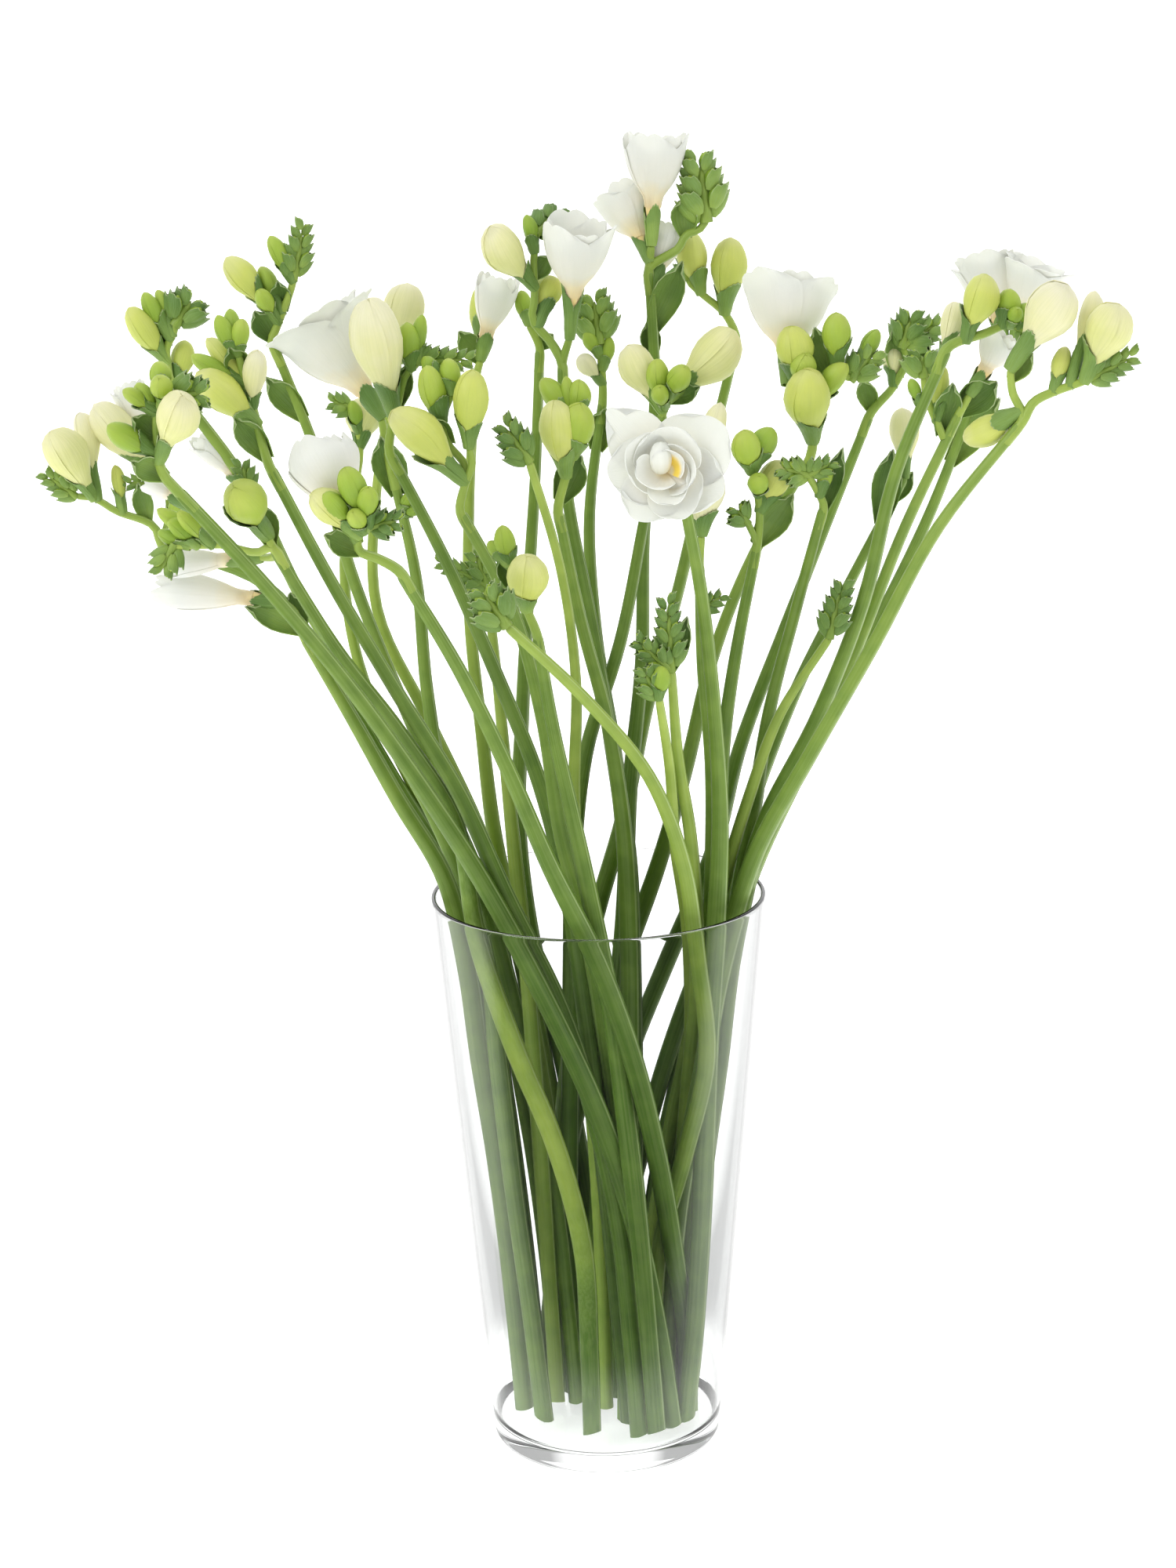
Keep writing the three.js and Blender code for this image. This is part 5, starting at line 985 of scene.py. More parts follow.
def rosette_petal(kit, stand, length, width, row):
    """One petal of the double flower, leaning out from its root as its row of ROSETTE says."""
    turn, root, lean_low, lean_high, reach, half, pointed, over, tone = row
    u, v = kit.petal.u, kit.petal.v
    steps = np.linspace(0, 1, 41)
    lean = lean_low + (lean_high - lean_low) * steps ** 0.8
    run = reach * width / 40
    start = OUTER_START if root < INNER_HEIGHT else INNER_START
    out_line = start * width + np.concatenate(([0], np.cumsum(np.sin(lean[:-1]) * run)))
    up_line = root * length + np.concatenate(([0], np.cumsum(np.cos(lean[:-1]) * run)))
    at = v * (1 - (0.16 + 0.2 * pointed) * np.abs(u) ** 2.2 * v ** 3)
    radius, height = np.interp(at, steps, out_line), np.interp(at, steps, up_line)
    wide = half * width * eased(v, [(0, 0.3), (0.25, 0.7), (0.55, 1.0), (0.82, 0.96 - 0.35 * pointed),
                                    (0.95, 0.74 - 0.45 * pointed), (1, 0.5 - 0.42 * pointed)])
    angle = math.radians(turn) + np.clip(wide / np.maximum(radius, 2.0), 0, 1.5) * u
    radius = radius * (1 + over * u * v - 0.02 * np.cos(math.pi * u) * v)
    height = height + 0.013 * width * np.sin(3 * u + 4 * v + turn) * v ** 2 + 0.035 * width * u ** 2 * v
    places = stand.around(angle, radius, height)
    on_petal = ((u + 1) / 2, 0.24 + 0.76 * v)
    kit.sheets.append(kit.petal.copy(places, kit.finishes["petal"], tone, on_petal))


def rosette_heart(kit, stand, low, length, width):
    """The tube of the double flower, from its low end to its throat, and the closed heart over it."""
    u, v = kit.core.u, kit.core.v
    radius = eased(v, [(0, 2.0), (0.5, 2.8), (0.85, 3.2), (1, 3.4)]) * pinched(v)
    places = stand.around(math.pi * u, radius, 0.54 * length * v)
    places += np.outer((1 - v) ** 1.5, low - stand.root)
    tone = np.where(v > 0.9, 1.0, PETAL_TONE)
    kit.bodies.append(kit.core.copy(places, kit.finishes["petal"], tone, ((u + 1) / 2, 0.62 * v)))
    radius = 0.12 * width * np.sqrt(np.maximum(1 - (2 * v - 1) ** 2, 0.0002))
    middle = stand.put(np.array((-2.0,)), np.array((-0.6,)), np.array((0.66 * length,)))[0]
    egg = Stand(middle, middle + stand.along * 0.6 + stand.side * 0.1 + stand.out * 0.75)
    places = egg.around(math.pi * u, radius * (1 + 0.12 * np.cos(TAU * u)), 0.33 * width * v)
    on_heart = ((u + 1) / 2, 0.55 + 0.4 * v)
    kit.bodies.append(kit.core.copy(places, kit.finishes["petal"], PETAL_TONE, on_heart))


def stalk(blank, line, radii, tone, finish, ridge, flat=0.0):
    """A stem or axis with lengthwise ridges along a line of places, flattened towards its sides by flat."""
    u, v = blank.u, blank.v
    steps = len(np.unique(v)) - 1
    along = np.gradient(line, axis=0)
    along /= np.linalg.norm(along, axis=1)[:, None]
    side = np.cross(along[0], (0.0, -1.0, 0.0))
    sides = []
    for direction in along:
        side = side - direction * side.dot(direction)
        side = side / np.linalg.norm(side)
        sides.append(side)
    sides = np.array(sides)
    outs = np.cross(sides, along)
    row = np.rint(v * steps).astype(int)
    angle = math.pi * u
    grooved = 1 + ridge * (0.05 * np.cos(2 * angle + 1.2 * v) + 0.035 * np.cos(5 * angle - 2.0 * v))
    radius = radii[row] * grooved
    broad = np.broadcast_to(flat, len(line))[row]
    places = (line[row] + (radius * (1 + broad) * np.sin(angle))[:, None] * sides[row]
              + (radius * (1 - 0.6 * broad) * np.cos(angle))[:, None] * outs[row])
    return blank.copy(places, finish, tone, ((u + 1) / 2, v))


# ---- pieces
# How many faces each kind of sheet has across and along.
BLANKS = {"tube": (14, 64), "rod": (10, 19), "petal": (12, 14), "petal_small": (8, 9), "core": (12, 8),
          "bract": (14, 6), "scale": (8, 4), "pod": (8, 5)}
# Tones of a light and of a plain stem, and how much lighter side axes are, up to the lightest.
LIGHT_TONES = (0.72, 0.95)
PLAIN_TONES = (0.18, 0.48)
AXIS_LIGHTER = 0.3
AXIS_LIGHTEST = 0.9
AXIS_RIDGES = 0.6
# How ripe a half ripe and a ripe bud are (a green one ripens as it swells), and how open a small flower is.
RIPENESS = {"y": 0.47, "c": 0.75}
SMALL_FLARE = 0.3


def run_of(points, steps, radius):
    """Even places along a curve, the last four drawn together so that its end can be rounded off."""
    shares = np.linspace(0, 1, 401)
    dense = curve_at(points, shares)
    lengths = np.concatenate(([0], np.cumsum(np.linalg.norm(np.diff(dense, axis=0), axis=1))))
    left = np.array((0.75, 0.4, 0.12, 0.0))
    even = np.linspace(0, lengths[-1] - 1.2 * radius, steps - 3)
    wanted = np.concatenate((even, lengths[-1] - left * radius))
    line = curve_at(points, np.interp(wanted, lengths, shares))
    end = np.concatenate((np.ones(steps - 3), np.sqrt(np.maximum(1 - (1 - left) ** 2, 0.0004))))
    return line, end, wanted / lengths[-1]


def stem_and_axes(kit, strand, chance):
    """The stem and the side axes of its spray. Returns the stem's foot and the lines that parts grow from."""
    flesh = kit.finishes["stem"]
    tone = chance.uniform(*(LIGHT_TONES if strand.name in LIGHT_STEMS else PLAIN_TONES))
    if strand.name in TONES_ALONG:
        tone = eased(kit.tube.v, TONES_ALONG[strand.name])
    line, end, share = run_of(strand.nodes, BLANKS["tube"][1], strand.half)
    foot = line[0]
    slim = eased(line[:, 2], [(0, 1.08), (150, 1.05), (230, 0.97), (300, 0.84), (450, 0.76)])
    slim = slim * eased(share, [(0, 1.0), (0.9, 1.0), (1, 0.86)])
    flat = eased(line[:, 2], [(0, 0.2), (200, 0.14), (320, 0.0)])
    wave = 1 + 0.02 * np.sin(share * 21 + chance.uniform(0, TAU))
    ridges = kit.settings.stems.ridges
    kit.bodies.append(stalk(kit.tube, line, strand.half * slim * wave * end, tone, flesh, ridges, flat))
    axis_tone = min(float(np.max(tone)) + AXIS_LIGHTER, AXIS_LIGHTEST)
    lines = [spaced(strand.nodes, 90)]
    for _, half, places in (part for part in strand.spray if part[0] == "x"):
        points = [seen((a, u, strand.neck_depth + d)) + strand.shift() for a, u, d in places]
        lines.append(spaced(points, 24))
        root_half = half * 1.05
        if np.linalg.norm(points[0] - lines[0][-1]) < NECK_REACH:
            points.insert(0, lines[0][-3])
            root_half = max(half * 1.12, 0.72 * strand.half)
        run, end, share = run_of(points, BLANKS["rod"][1], half)
        thick = eased(share, [(0, root_half), (0.35, half * 1.05), (1, half * 0.82)])
        kit.bodies.append(stalk(kit.rod, run, thick * end, axis_tone, flesh, AXIS_RIDGES))
    return foot, lines


def spray_part(kit, strand, part, lines, chance):
    """One part of a spray, grown from the nearest line. Returns a list with the bloom if it stands apart."""
    kind = part[0].lower()
    base, tip, width = part_places(part, strand.neck_depth)
    broader, longer = FULLNESS.get(kind, (1.0, 1.0))
    width, tip = width * broader, base + (tip - base) * longer
    base, tip = base + strand.shift(), tip + strand.shift()
    root = nearest_on(lines, base)
    reach = np.linalg.norm(tip - root)
    length = np.linalg.norm(tip - base)
    foot = max(reach - length, LEAST_STALK)
    flower = kind in "fo"
    stand = Stand(root, tip, 0.0 if flower else chance.uniform(-0.4, 0.4))
    if kind == "t":
        scaly_tip(kit, Stand(root, tip, chance.uniform(-0.35, 0.35)), reach, width, chance)
        return []
    if kind == "l":
        leaf(kit, stand, reach, width, chance.uniform(0.2, 0.65), chance)
        return []

    def outline(height):
        """How wide the bud or the tube of the flower is at a height."""
        share = np.clip((height - foot) / length, 0, 1)
        return tube_radius(width, share) if flower else width / 2 * eased(share, BUD_PROFILES[kind])

    covered = min(FLOWER_BRACT_SHARE * length, FLOWER_BRACT_MOST) if flower else BRACT_SHARES[kind] * length
    bracts(kit, stand, outline, foot + covered, chance.uniform(0.2, 0.6), chance)
    if kind != part[0]:
        return [(kind, stand, foot + 0.3, length, width)]
    if kind == "f":
        broad = width * SMALL_BLOOM_WIDTHS.get(strand.name, 1.0)
        funnel(kit, stand, foot - 0.2, length, broad, SMALL_FLARE, chance.uniform(0, TAU), chance)
    else:
        ripe = RIPENESS.get(kind, 0.05 + 0.013 * width) + chance.uniform(-0.06, 0.08)
        bud(kit, stand, foot, length, width, ripe, chance, BUD_PROFILES[kind])
    return []


def build_stem(kit, strand):
    """One stem with its axes, buds, bracts, scaly tips and small flowers. Returns its separate blooms."""
    chance = random.Random(strand.name)
    kit.bodies, kit.sheets = [], []
    foot, lines = stem_and_axes(kit, strand, chance)
    blooms = []
    for part in strand.spray + MORE_PARTS.get(strand.name, []):
        if part[0] != "x":
            blooms += spray_part(kit, strand, part, lines, chance)
    across = chance.uniform(-LARGEST_SLANT, LARGEST_SLANT)
    slant = (across, chance.uniform(-LARGEST_SLANT, LARGEST_SLANT), 1.0)
    cut = (foot[0] * MM, foot[1] * MM, (FOOT_CUT + chance.uniform(LEAST_CUT, MOST_CUT)) * MM)
    piece = finished(strand.name.replace("stem", "freesia"), kit.bodies, kit.sheets,
                     kit.settings.spray.bract_thickness, (cut, slant))
    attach(piece, "root")
    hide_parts(strand.name)
    return blooms


def build_bloom(kit, node, way, bloom):
    """An open flower or a large cream bud that stands in its bracts as a piece of its own."""
    kind, stand, foot, length, width = bloom
    flare, turn, broader, longer = way
    width, length = width * broader, length * longer
    chance = random.Random(node)
    kit.bodies, kit.sheets = [], []
    if kind == "c":
        bud(kit, stand, foot, length, width, chance.uniform(0.63, 0.8), chance, BUD_PROFILES["c"])
    elif kind == "o":
        rosette(kit, stand, foot, length, width)
    else:
        funnel(kit, stand, foot, length, width, flare, turn, chance)
    piece = finished(node.replace("bloom", "flower"), kit.bodies, kit.sheets,
                     kit.settings.spray.petal_thickness)
    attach(piece, "root")
    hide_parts(node)


# ---- finishes
# Between which values of the fine grain a surface goes from its smoothest to its roughest.
GRAIN_LOW, GRAIN_HIGH = 0.3, 0.7
# How far light of each colour goes under the skin of the green parts, against the scale of each finish.
GREEN_DEPTHS = (0.35, 0.5, 0.15)
FLOAT = "NodeSocketFloat"


def tint(code):
    """A colour written as six hex digits, as the renderer's linear values."""
    values = [int(code[i:i + 2], 16) / 255 for i in (0, 2, 4)]
    return [v / 12.92 if v <= 0.04045 else ((v + 0.055) / 1.055) ** 2.4 for v in values] + [1.0]


def group_of(name, inputs, outputs):
    """An empty shader node group with named inputs and outputs."""
    group = bpy.data.node_groups.new(name, "ShaderNodeTree")
    for label, kind, default in inputs:
        socket = group.interface.new_socket(name=label, in_out="INPUT", socket_type=kind)
        if default is not None:
            socket.default_value = default
    for label, kind in outputs:
        group.interface.new_socket(name=label, in_out="OUTPUT", socket_type=kind)
    return group, group.nodes.new("NodeGroupInput"), group.nodes.new("NodeGroupOutput")


def feed(tree, socket, value):
    """Gives a socket a constant, or links another socket to it."""
    if isinstance(value, (int, float, list, tuple)):
        socket.default_value = value
    else:
        tree.links.new(value, socket)


def maths(tree, operation, first, second=None, clamp=False):
    node = tree.nodes.new("ShaderNodeMath")
    node.operation = operation
    node.use_clamp = clamp
    feed(tree, node.inputs[0], first)
    if second is not None:
        feed(tree, node.inputs[1], second)
    return node.outputs[0]


def noise(tree, vector, scale, detail=2.0, rough=0.5):
    node = tree.nodes.new("ShaderNodeTexNoise")
    node.inputs["Scale"].default_value = scale
    node.inputs["Detail"].default_value = detail
    node.inputs["Roughness"].default_value = rough
    tree.links.new(vector, node.inputs["Vector"])
    return node.outputs[0]


def ranged(tree, value, low, high, to_low=0.0, to_high=1.0):
    """A value carried smoothly from one range to another."""
    node = tree.nodes.new("ShaderNodeMapRange")
    node.interpolation_type = "SMOOTHSTEP"
    for label, number in (("From Min", low), ("From Max", high), ("To Min", to_low), ("To Max", to_high)):
        node.inputs[label].default_value = number
    tree.links.new(value, node.inputs["Value"])
    return node.outputs["Result"]


def mixed(tree, share, first, second):
    """A colour mixed from two, each a colour or a socket."""
    node = tree.nodes.new("ShaderNodeMix")
    node.data_type = "RGBA"
    feed(tree, next(s for s in node.inputs if s.type == "VALUE"), share)
    for socket, value in zip([s for s in node.inputs if s.type == "RGBA"], (first, second)):
        feed(tree, socket, value)
    return next(s for s in node.outputs if s.type == "RGBA")


def ramp(tree, value, stops):
    """A colour from a row of stops, each a place and a hex colour."""
    node = tree.nodes.new("ShaderNodeValToRGB")
    elements = node.color_ramp.elements
    while len(elements) < len(stops):
        elements.new(0.5)
    for element, (place, code) in zip(elements, stops):
        element.position = place
        element.color = tint(code)
    tree.links.new(value, node.inputs[0])
    return node.outputs[0]


def veins_group():
    """Lengthwise veins of a leaf or petal, from its own across and along: a mask and a height."""
    group, start, end = group_of(
        "Lengthwise veins",
        [("Across", FLOAT, 0.0), ("Along", FLOAT, 0.0), ("Count", FLOAT, 30.0), ("Drift", FLOAT, 1.5),
         ("Part", FLOAT, 0.0)],
        [("Mask", FLOAT), ("Height", FLOAT)])
    combine = group.nodes.new("ShaderNodeCombineXYZ")
    given = start.outputs
    for i, (value, times) in enumerate(((given["Across"], given["Count"]), (given["Along"], given["Drift"]),
                                        (given["Part"], 37.0))):
        group.links.new(maths(group, "MULTIPLY", value, times), combine.inputs[i])
    fine = noise(group, combine.outputs[0], 1.0, 2.0, 0.55)
    group.links.new(ranged(group, fine, 0.36, 0.66), end.inputs["Mask"])
    group.links.new(fine, end.inputs["Height"])
    return group


def margin_group():
    """The thin pale edge of a scale or bract, from its own across and along: a mask."""
    group, start, end = group_of(
        "Thin margin",
        [("Across", FLOAT, 0.0), ("Along", FLOAT, 0.0), ("Width", FLOAT, 0.08)],
        [("Mask", FLOAT)])
    across, along, width = (start.outputs[i] for i in range(3))
    middle = maths(group, "SUBTRACT", maths(group, "MULTIPLY", across, 2.0), 1.0)
    sideways = maths(group, "ABSOLUTE", middle)
    upper = maths(group, "MULTIPLY", sideways, ranged(group, along, 0.1, 0.6))
    edge = maths(group, "MAXIMUM", upper, along)
    inner = maths(group, "SUBTRACT", 1.0, width)
    past = maths(group, "DIVIDE", maths(group, "SUBTRACT", edge, inner), width, clamp=True)
    group.links.new(past, end.inputs[0])
    return group


def mottle_group():
    """Soft patches and fine grain over a surface, from its place: two masks."""
    group, start, end = group_of(
        "Soft mottling",
        [("Place", "NodeSocketVector", None)],
        [("Patches", FLOAT), ("Grain", FLOAT)])
    group.links.new(ranged(group, noise(group, start.outputs[0], 95.0, 2.0), 0.3, 0.7), end.inputs[0])
    group.links.new(noise(group, start.outputs[0], 1400.0, 2.0, 0.6), end.inputs[1])
    return group


class Finish:
    """A material with its shader, and the coordinates of the part that it lies on."""

    def __init__(self, name):
        self.material = bpy.data.materials.new(name)
        self.material.use_nodes = True
        self.tree = self.material.node_tree
        self.shader = next(n for n in self.tree.nodes if n.type == "BSDF_PRINCIPLED")
        self.output = next(n for n in self.tree.nodes if n.type == "OUTPUT_MATERIAL")
        coordinates = self.tree.nodes.new("ShaderNodeTexCoord")
        self.across, self.along = self.split(coordinates.outputs["UV"])[:2]
        self.place = coordinates.outputs["Object"]

    def split(self, vector):
        """The three parts of a vector."""
        node = self.tree.nodes.new("ShaderNodeSeparateXYZ")
        self.tree.links.new(vector, node.inputs[0])
        return node.outputs[0], node.outputs[1], node.outputs[2]

    def group(self, group, **values):
        """Adds a node group and gives it its values. Returns its outputs."""
        node = self.tree.nodes.new("ShaderNodeGroup")
        node.node_tree = group
        for label, value in values.items():
            feed(self.tree, node.inputs[label], value)
        return node.outputs

    def maths(self, *values, clamp=False):
        return maths(self.tree, *values, clamp=clamp)

    def ranged(self, *values):
        return ranged(self.tree, *values)

    def mixed(self, *values):
        return mixed(self.tree, *values)

    def set(self, **values):
        """Constants on the shader's own sockets."""
        for label, value in values.items():
            self.shader.inputs[label.replace("_", " ")].default_value = value

    def link(self, label, socket):
        self.tree.links.new(socket, self.shader.inputs[label])

    def bump(self, height, depth, strength=1.0):
        """Relief from a height, at most depth metres deep."""
        node = self.tree.nodes.new("ShaderNodeBump")
        node.inputs["Distance"].default_value = depth
        node.inputs["Strength"].default_value = strength
        self.tree.links.new(height, node.inputs["Height"])
        self.link("Normal", node.outputs[0])


class PlantFinish(Finish):
    """A finish with veins and mottling, coloured by the tone of each part and grained like a skin."""

    def __init__(self, name, effects, count, drift):
        super().__init__(name)
        attribute = self.tree.nodes.new("ShaderNodeAttribute")
        attribute.attribute_name = "tone"
        self.tone = attribute.outputs["Fac"]
        self.veins = self.group(effects["veins"], Across=self.across, Along=self.along, Count=count,
                                Drift=drift, Part=self.tone)
        self.mottle = self.group(effects["mottle"], Place=self.place)

    def plus_patches(self, value, share, clamp=True):
        """A value raised by a share of the soft patches."""
        return self.maths("ADD", value, self.maths("MULTIPLY", self.mottle["Patches"], share), clamp=clamp)

    def over(self, colour, mask, share, code):
        """A colour with a share of another laid over it where a mask says."""
        return self.mixed(self.maths("MULTIPLY", mask, share), colour, tint(code))

    def surface(self, colour, smooth, rough, depth, relief):
        """The colour, a roughness that follows the grain, and a relief that follows the veins."""
        self.link("Base Color", colour)
        self.link("Roughness", self.ranged(self.mottle["Grain"], GRAIN_LOW, GRAIN_HIGH, smooth, rough))
        self.bump(self.veins["Height"], depth, relief)
        return self.material


def stem_finish(effects):
    """Green flesh, lighter towards the top where painted shade darkens it low among the crowded stems, with
    fine streaks and painted highlight lines along it.
    """
    stem = PlantFinish("Stem flesh", effects, 26.0, 5.0)
    height = stem.split(stem.place)[2]
    # Painted shade: darker low down, where the stems crowd together in the vase, and lighter above it.
    tone_and_painted_shade = stem.maths("ADD", stem.maths("MULTIPLY", stem.tone, 0.75),
                         stem.ranged(height, 0.1, 0.42, -0.14, 0.14))
    tone_and_painted_shade = stem.plus_patches(tone_and_painted_shade, 0.12)
    colour = ramp(stem.tree, tone_and_painted_shade, [(0.0, "3f5e14"), (0.2, "557623"), (0.45, "769437"), (0.75, "98b048"),
                                       (1.0, "b9cd60")])
    colour = stem.over(colour, stem.veins["Mask"], 0.16, "a9bf74")
    # Painted highlight: two thin pale lines along each stem, at fixed places round it, where light would
    # catch its ridges.
    painted_highlight_line = stem.maths("PINGPONG", stem.maths("ADD", stem.across, 0.13), 0.2)
    colour = stem.over(colour, stem.ranged(painted_highlight_line, 0.03, 0.0), 0.5, "c3d59a")
    stem.set(Specular_IOR_Level=0.42, Subsurface_Weight=0.06, Subsurface_Radius=GREEN_DEPTHS,
             Subsurface_Scale=0.002)
    return stem.surface(colour, 0.36, 0.5, 0.00025, 0.6)


def bract_finish(effects, margin):
    """Green blades, darker towards the tip, with thin pale edges."""
    bract = PlantFinish("Bract and scale", effects, 34.0, 1.6)
    edge = bract.group(effects["margin"], Across=bract.across, Along=bract.along, Width=margin)
    shade = bract.maths("ADD", bract.plus_patches(bract.tone, 0.2), 0.25)
    shade = bract.maths("SUBTRACT", shade, bract.maths("MULTIPLY", bract.along, 0.3), clamp=True)
    colour = ramp(bract.tree, shade, [(0.0, "44642d"), (0.4, "5e8039"), (0.75, "7c9a48"), (1.0, "9ab555")])
    colour = bract.over(colour, bract.veins["Mask"], 0.2, "8fb070")
    colour = bract.over(colour, edge["Mask"], 0.5, "c9d4a4")
    bract.set(Specular_IOR_Level=0.36, Subsurface_Weight=0.08, Subsurface_Radius=GREEN_DEPTHS,
              Subsurface_Scale=0.0012)
    return bract.surface(colour, 0.42, 0.58, 0.0003, 0.8)


def bud_finish(effects):
    """The skin of a bud, from green through yellow to cream as it ripens."""
    skin = PlantFinish("Bud skin", effects, 30.0, 1.3)
    ripe = skin.maths("ADD", skin.tone, skin.ranged(skin.along, 0.25, 1.0, -0.05, 0.07))
    ripe = skin.plus_patches(ripe, 0.05)
    colour = ramp(skin.tree, ripe, [(0.0, "779f2f"), (0.22, "a4be45"), (0.5, "ced66c"), (0.72, "e8e6ab"),
                                    (0.9, "f2eed0"), (1.0, "f5f2e2")])
    colour = skin.over(colour, skin.veins["Mask"], 0.1, "a9b865")
    skin.set(Specular_IOR_Level=0.36, Subsurface_Weight=0.16, Subsurface_Radius=(0.8, 0.8, 0.35),
             Subsurface_Scale=0.002)
    return skin.surface(colour, 0.38, 0.5, 0.0003, 0.5)


def petal_finish(effects):
    """White petals, yellow-green at the tube, with a yellow spot on those of a high tone, and a faint painted
    glow that lightens their shadows.
    """
    petal = PlantFinish("Petal", effects, 22.0, 1.2)
    warm = petal.plus_patches(petal.along, 0.06, clamp=False)
    colour = ramp(petal.tree, warm, [(0.0, "d9d98c"), (0.16, "f0cf7e"), (0.32, "f6e3b0"), (0.5, "ece9d8"),
                                     (0.8, "e1e3d9"), (1.0, "dde0d7")])
    colour = petal.over(colour, petal.veins["Mask"], 0.07, "d9dccb")
    low, high = petal.ranged(petal.along, 0.36, 0.5), petal.ranged(petal.along, 0.86, 0.6)
    middle = petal.maths("MULTIPLY", low, high)
    spot = petal.maths("MULTIPLY", middle, petal.ranged(petal.tone, 0.7, 0.9))
    colour = petal.mixed(spot, colour, tint("ffd53a"))
    # Painted light: the faint warm emission makes the petals glow a little, lightening their shadows as light
    # passing through them would.
    petal.set(Specular_IOR_Level=0.3, Emission_Color=(1.0, 0.98, 0.93, 1.0), Emission_Strength=0.05,
              Subsurface_Weight=0.4, Subsurface_Radius=(1.0, 0.95, 0.8), Subsurface_Scale=0.0025,
              Sheen_Weight=0.12, Sheen_Roughness=0.4)
    return petal.surface(colour, 0.42, 0.56, 0.0003, 0.45)


def plant_finishes(settings):
    """The finishes of the plants: stem flesh, bracts and scales, buds, and petals."""
    effects = {"veins": veins_group(), "margin": margin_group(), "mottle": mottle_group()}
    return {"stem": stem_finish(effects), "bract": bract_finish(effects, settings.spray.margin),
            "bud": bud_finish(effects), "petal": petal_finish(effects)}


def glass_finish(settings):
    """Clear glass with faint handling marks. Lamps shine through it on to the stems."""
    glass = Finish("Clear glass")
    tree = glass.tree
    glass.set(Base_Color=(*settings.glass_colour, 1.0), Transmission_Weight=1.0, IOR=1.5, Metallic=0.0)
    marks = noise(tree, glass.place, 18.0, 4.0, 0.6)
    glass.link("Roughness", glass.ranged(marks, 0.5, 0.8, 0.0, 0.02))
    glass.bump(noise(tree, glass.place, 9.0, 1.0), 0.0004, 0.2)
    clear = tree.nodes.new("ShaderNodeBsdfTransparent")
    clear.inputs[0].default_value = (0.95, 0.965, 0.955, 1.0)
    path = tree.nodes.new("ShaderNodeLightPath")
    both = tree.nodes.new("ShaderNodeMixShader")
    for i, socket in enumerate((path.outputs["Is Shadow Ray"], glass.shader.outputs[0], clear.outputs[0])):
        tree.links.new(socket, both.inputs[i])
    tree.links.new(both.outputs[0], glass.output.inputs["Surface"])
    return glass.material


# ---- settings
class VaseSettings(PropertyGroup):
    """The sizes and colour of the vase."""

    height: FloatProperty(
        name="Height", description="From the floor to the rim", default=VASE_TOP[2],
        min=0.05, subtype="DISTANCE", unit="LENGTH")
    rim_radius: FloatProperty(
        name="Rim radius", description="Outside radius at the rim", default=RIM_RADIUS * MM,
        min=0.02, subtype="DISTANCE", unit="LENGTH")
    base_radius: FloatProperty(
        name="Base radius", description="Outside radius at the foot", default=BASE_RADIUS * MM,
        min=0.02, subtype="DISTANCE", unit="LENGTH")
    wall: FloatProperty(
        name="Wall", description="Thickness of the glass wall", default=GLASS_SHARE * WALL * MM,
        min=0.001, subtype="DISTANCE", unit="LENGTH")
    floor: FloatProperty(
        name="Floor", description="Thickness of the solid glass foot", default=FLOOR * MM,
        min=0.002, subtype="DISTANCE", unit="LENGTH")
    glass_colour: FloatVectorProperty(
        name="Glass colour", description="Tint of the clear glass", default=(0.985, 0.993, 0.99),
        size=3, min=0, max=1, subtype="COLOR")


class StemSettings(PropertyGroup):
    """How the stems are finished."""

    ridges: FloatProperty(
        name="Ridges", description="How strong the lengthwise ridges of a stem are", default=1.4,
        min=0.0, max=2.0, subtype="FACTOR")


class SpraySettings(PropertyGroup):
    """How buds, bracts and petals are shaped."""

    petal_thickness: FloatProperty(
        name="Petal thickness", description="Thickness of a petal", default=0.00032,
        min=0.0001, subtype="DISTANCE", unit="LENGTH")
    bract_thickness: FloatProperty(
        name="Bract thickness", description="Thickness of bracts, scales and bud petals", default=0.00038,
        min=0.0001, subtype="DISTANCE", unit="LENGTH")
    bud_seam: FloatProperty(
        name="Bud seams", description="How far a bud's petals stand over one another", default=0.02,
        min=0.0, max=0.2, subtype="FACTOR")
    bud_twist: FloatProperty(
        name="Bud twist", description="How far a bud's petals wind round it", default=0.35,
        min=0.0, max=1.5, subtype="ANGLE", unit="ROTATION")
    margin: FloatProperty(
        name="Margin", description="Width of the pale edge of a bract, as a share of it", default=0.045,
        min=0.01, max=0.4, subtype="FACTOR")


class StageSettings(PropertyGroup):
    """The floor, the light and the camera."""

    surround: FloatProperty(
        name="Surround", description="Strength of the even light from all round", default=0.54, min=0.0)
    key: FloatProperty(
        name="Key light", description="Power of the large soft light on the left", default=25.0,
        min=0.0, subtype="POWER", unit="POWER")
    fill: FloatProperty(
        name="Fill light", description="Power of the soft light on the right", default=12.0,
        min=0.0, subtype="POWER", unit="POWER")
    top: FloatProperty(
        name="Top light", description="Power of the soft light overhead", default=9.0,
        min=0.0, subtype="POWER", unit="POWER")
    floor_colour: FloatVectorProperty(
        name="Floor colour", description="Colour of floor and backdrop", default=(0.93, 0.93, 0.93),
        size=3, min=0, max=1, subtype="COLOR")
    pitch: FloatProperty(
        name="Camera pitch", description="How far the camera looks down", default=math.radians(14.186),
        subtype="ANGLE", unit="ROTATION")
    roll: FloatProperty(
        name="Camera roll", description="How far the camera is tilted sideways", default=math.radians(-0.993),
        subtype="ANGLE", unit="ROTATION")
    lens: FloatProperty(
        name="Focal length", description="Focal length of the camera", default=68.4,
        min=10.0, subtype="DISTANCE_CAMERA", unit="CAMERA")


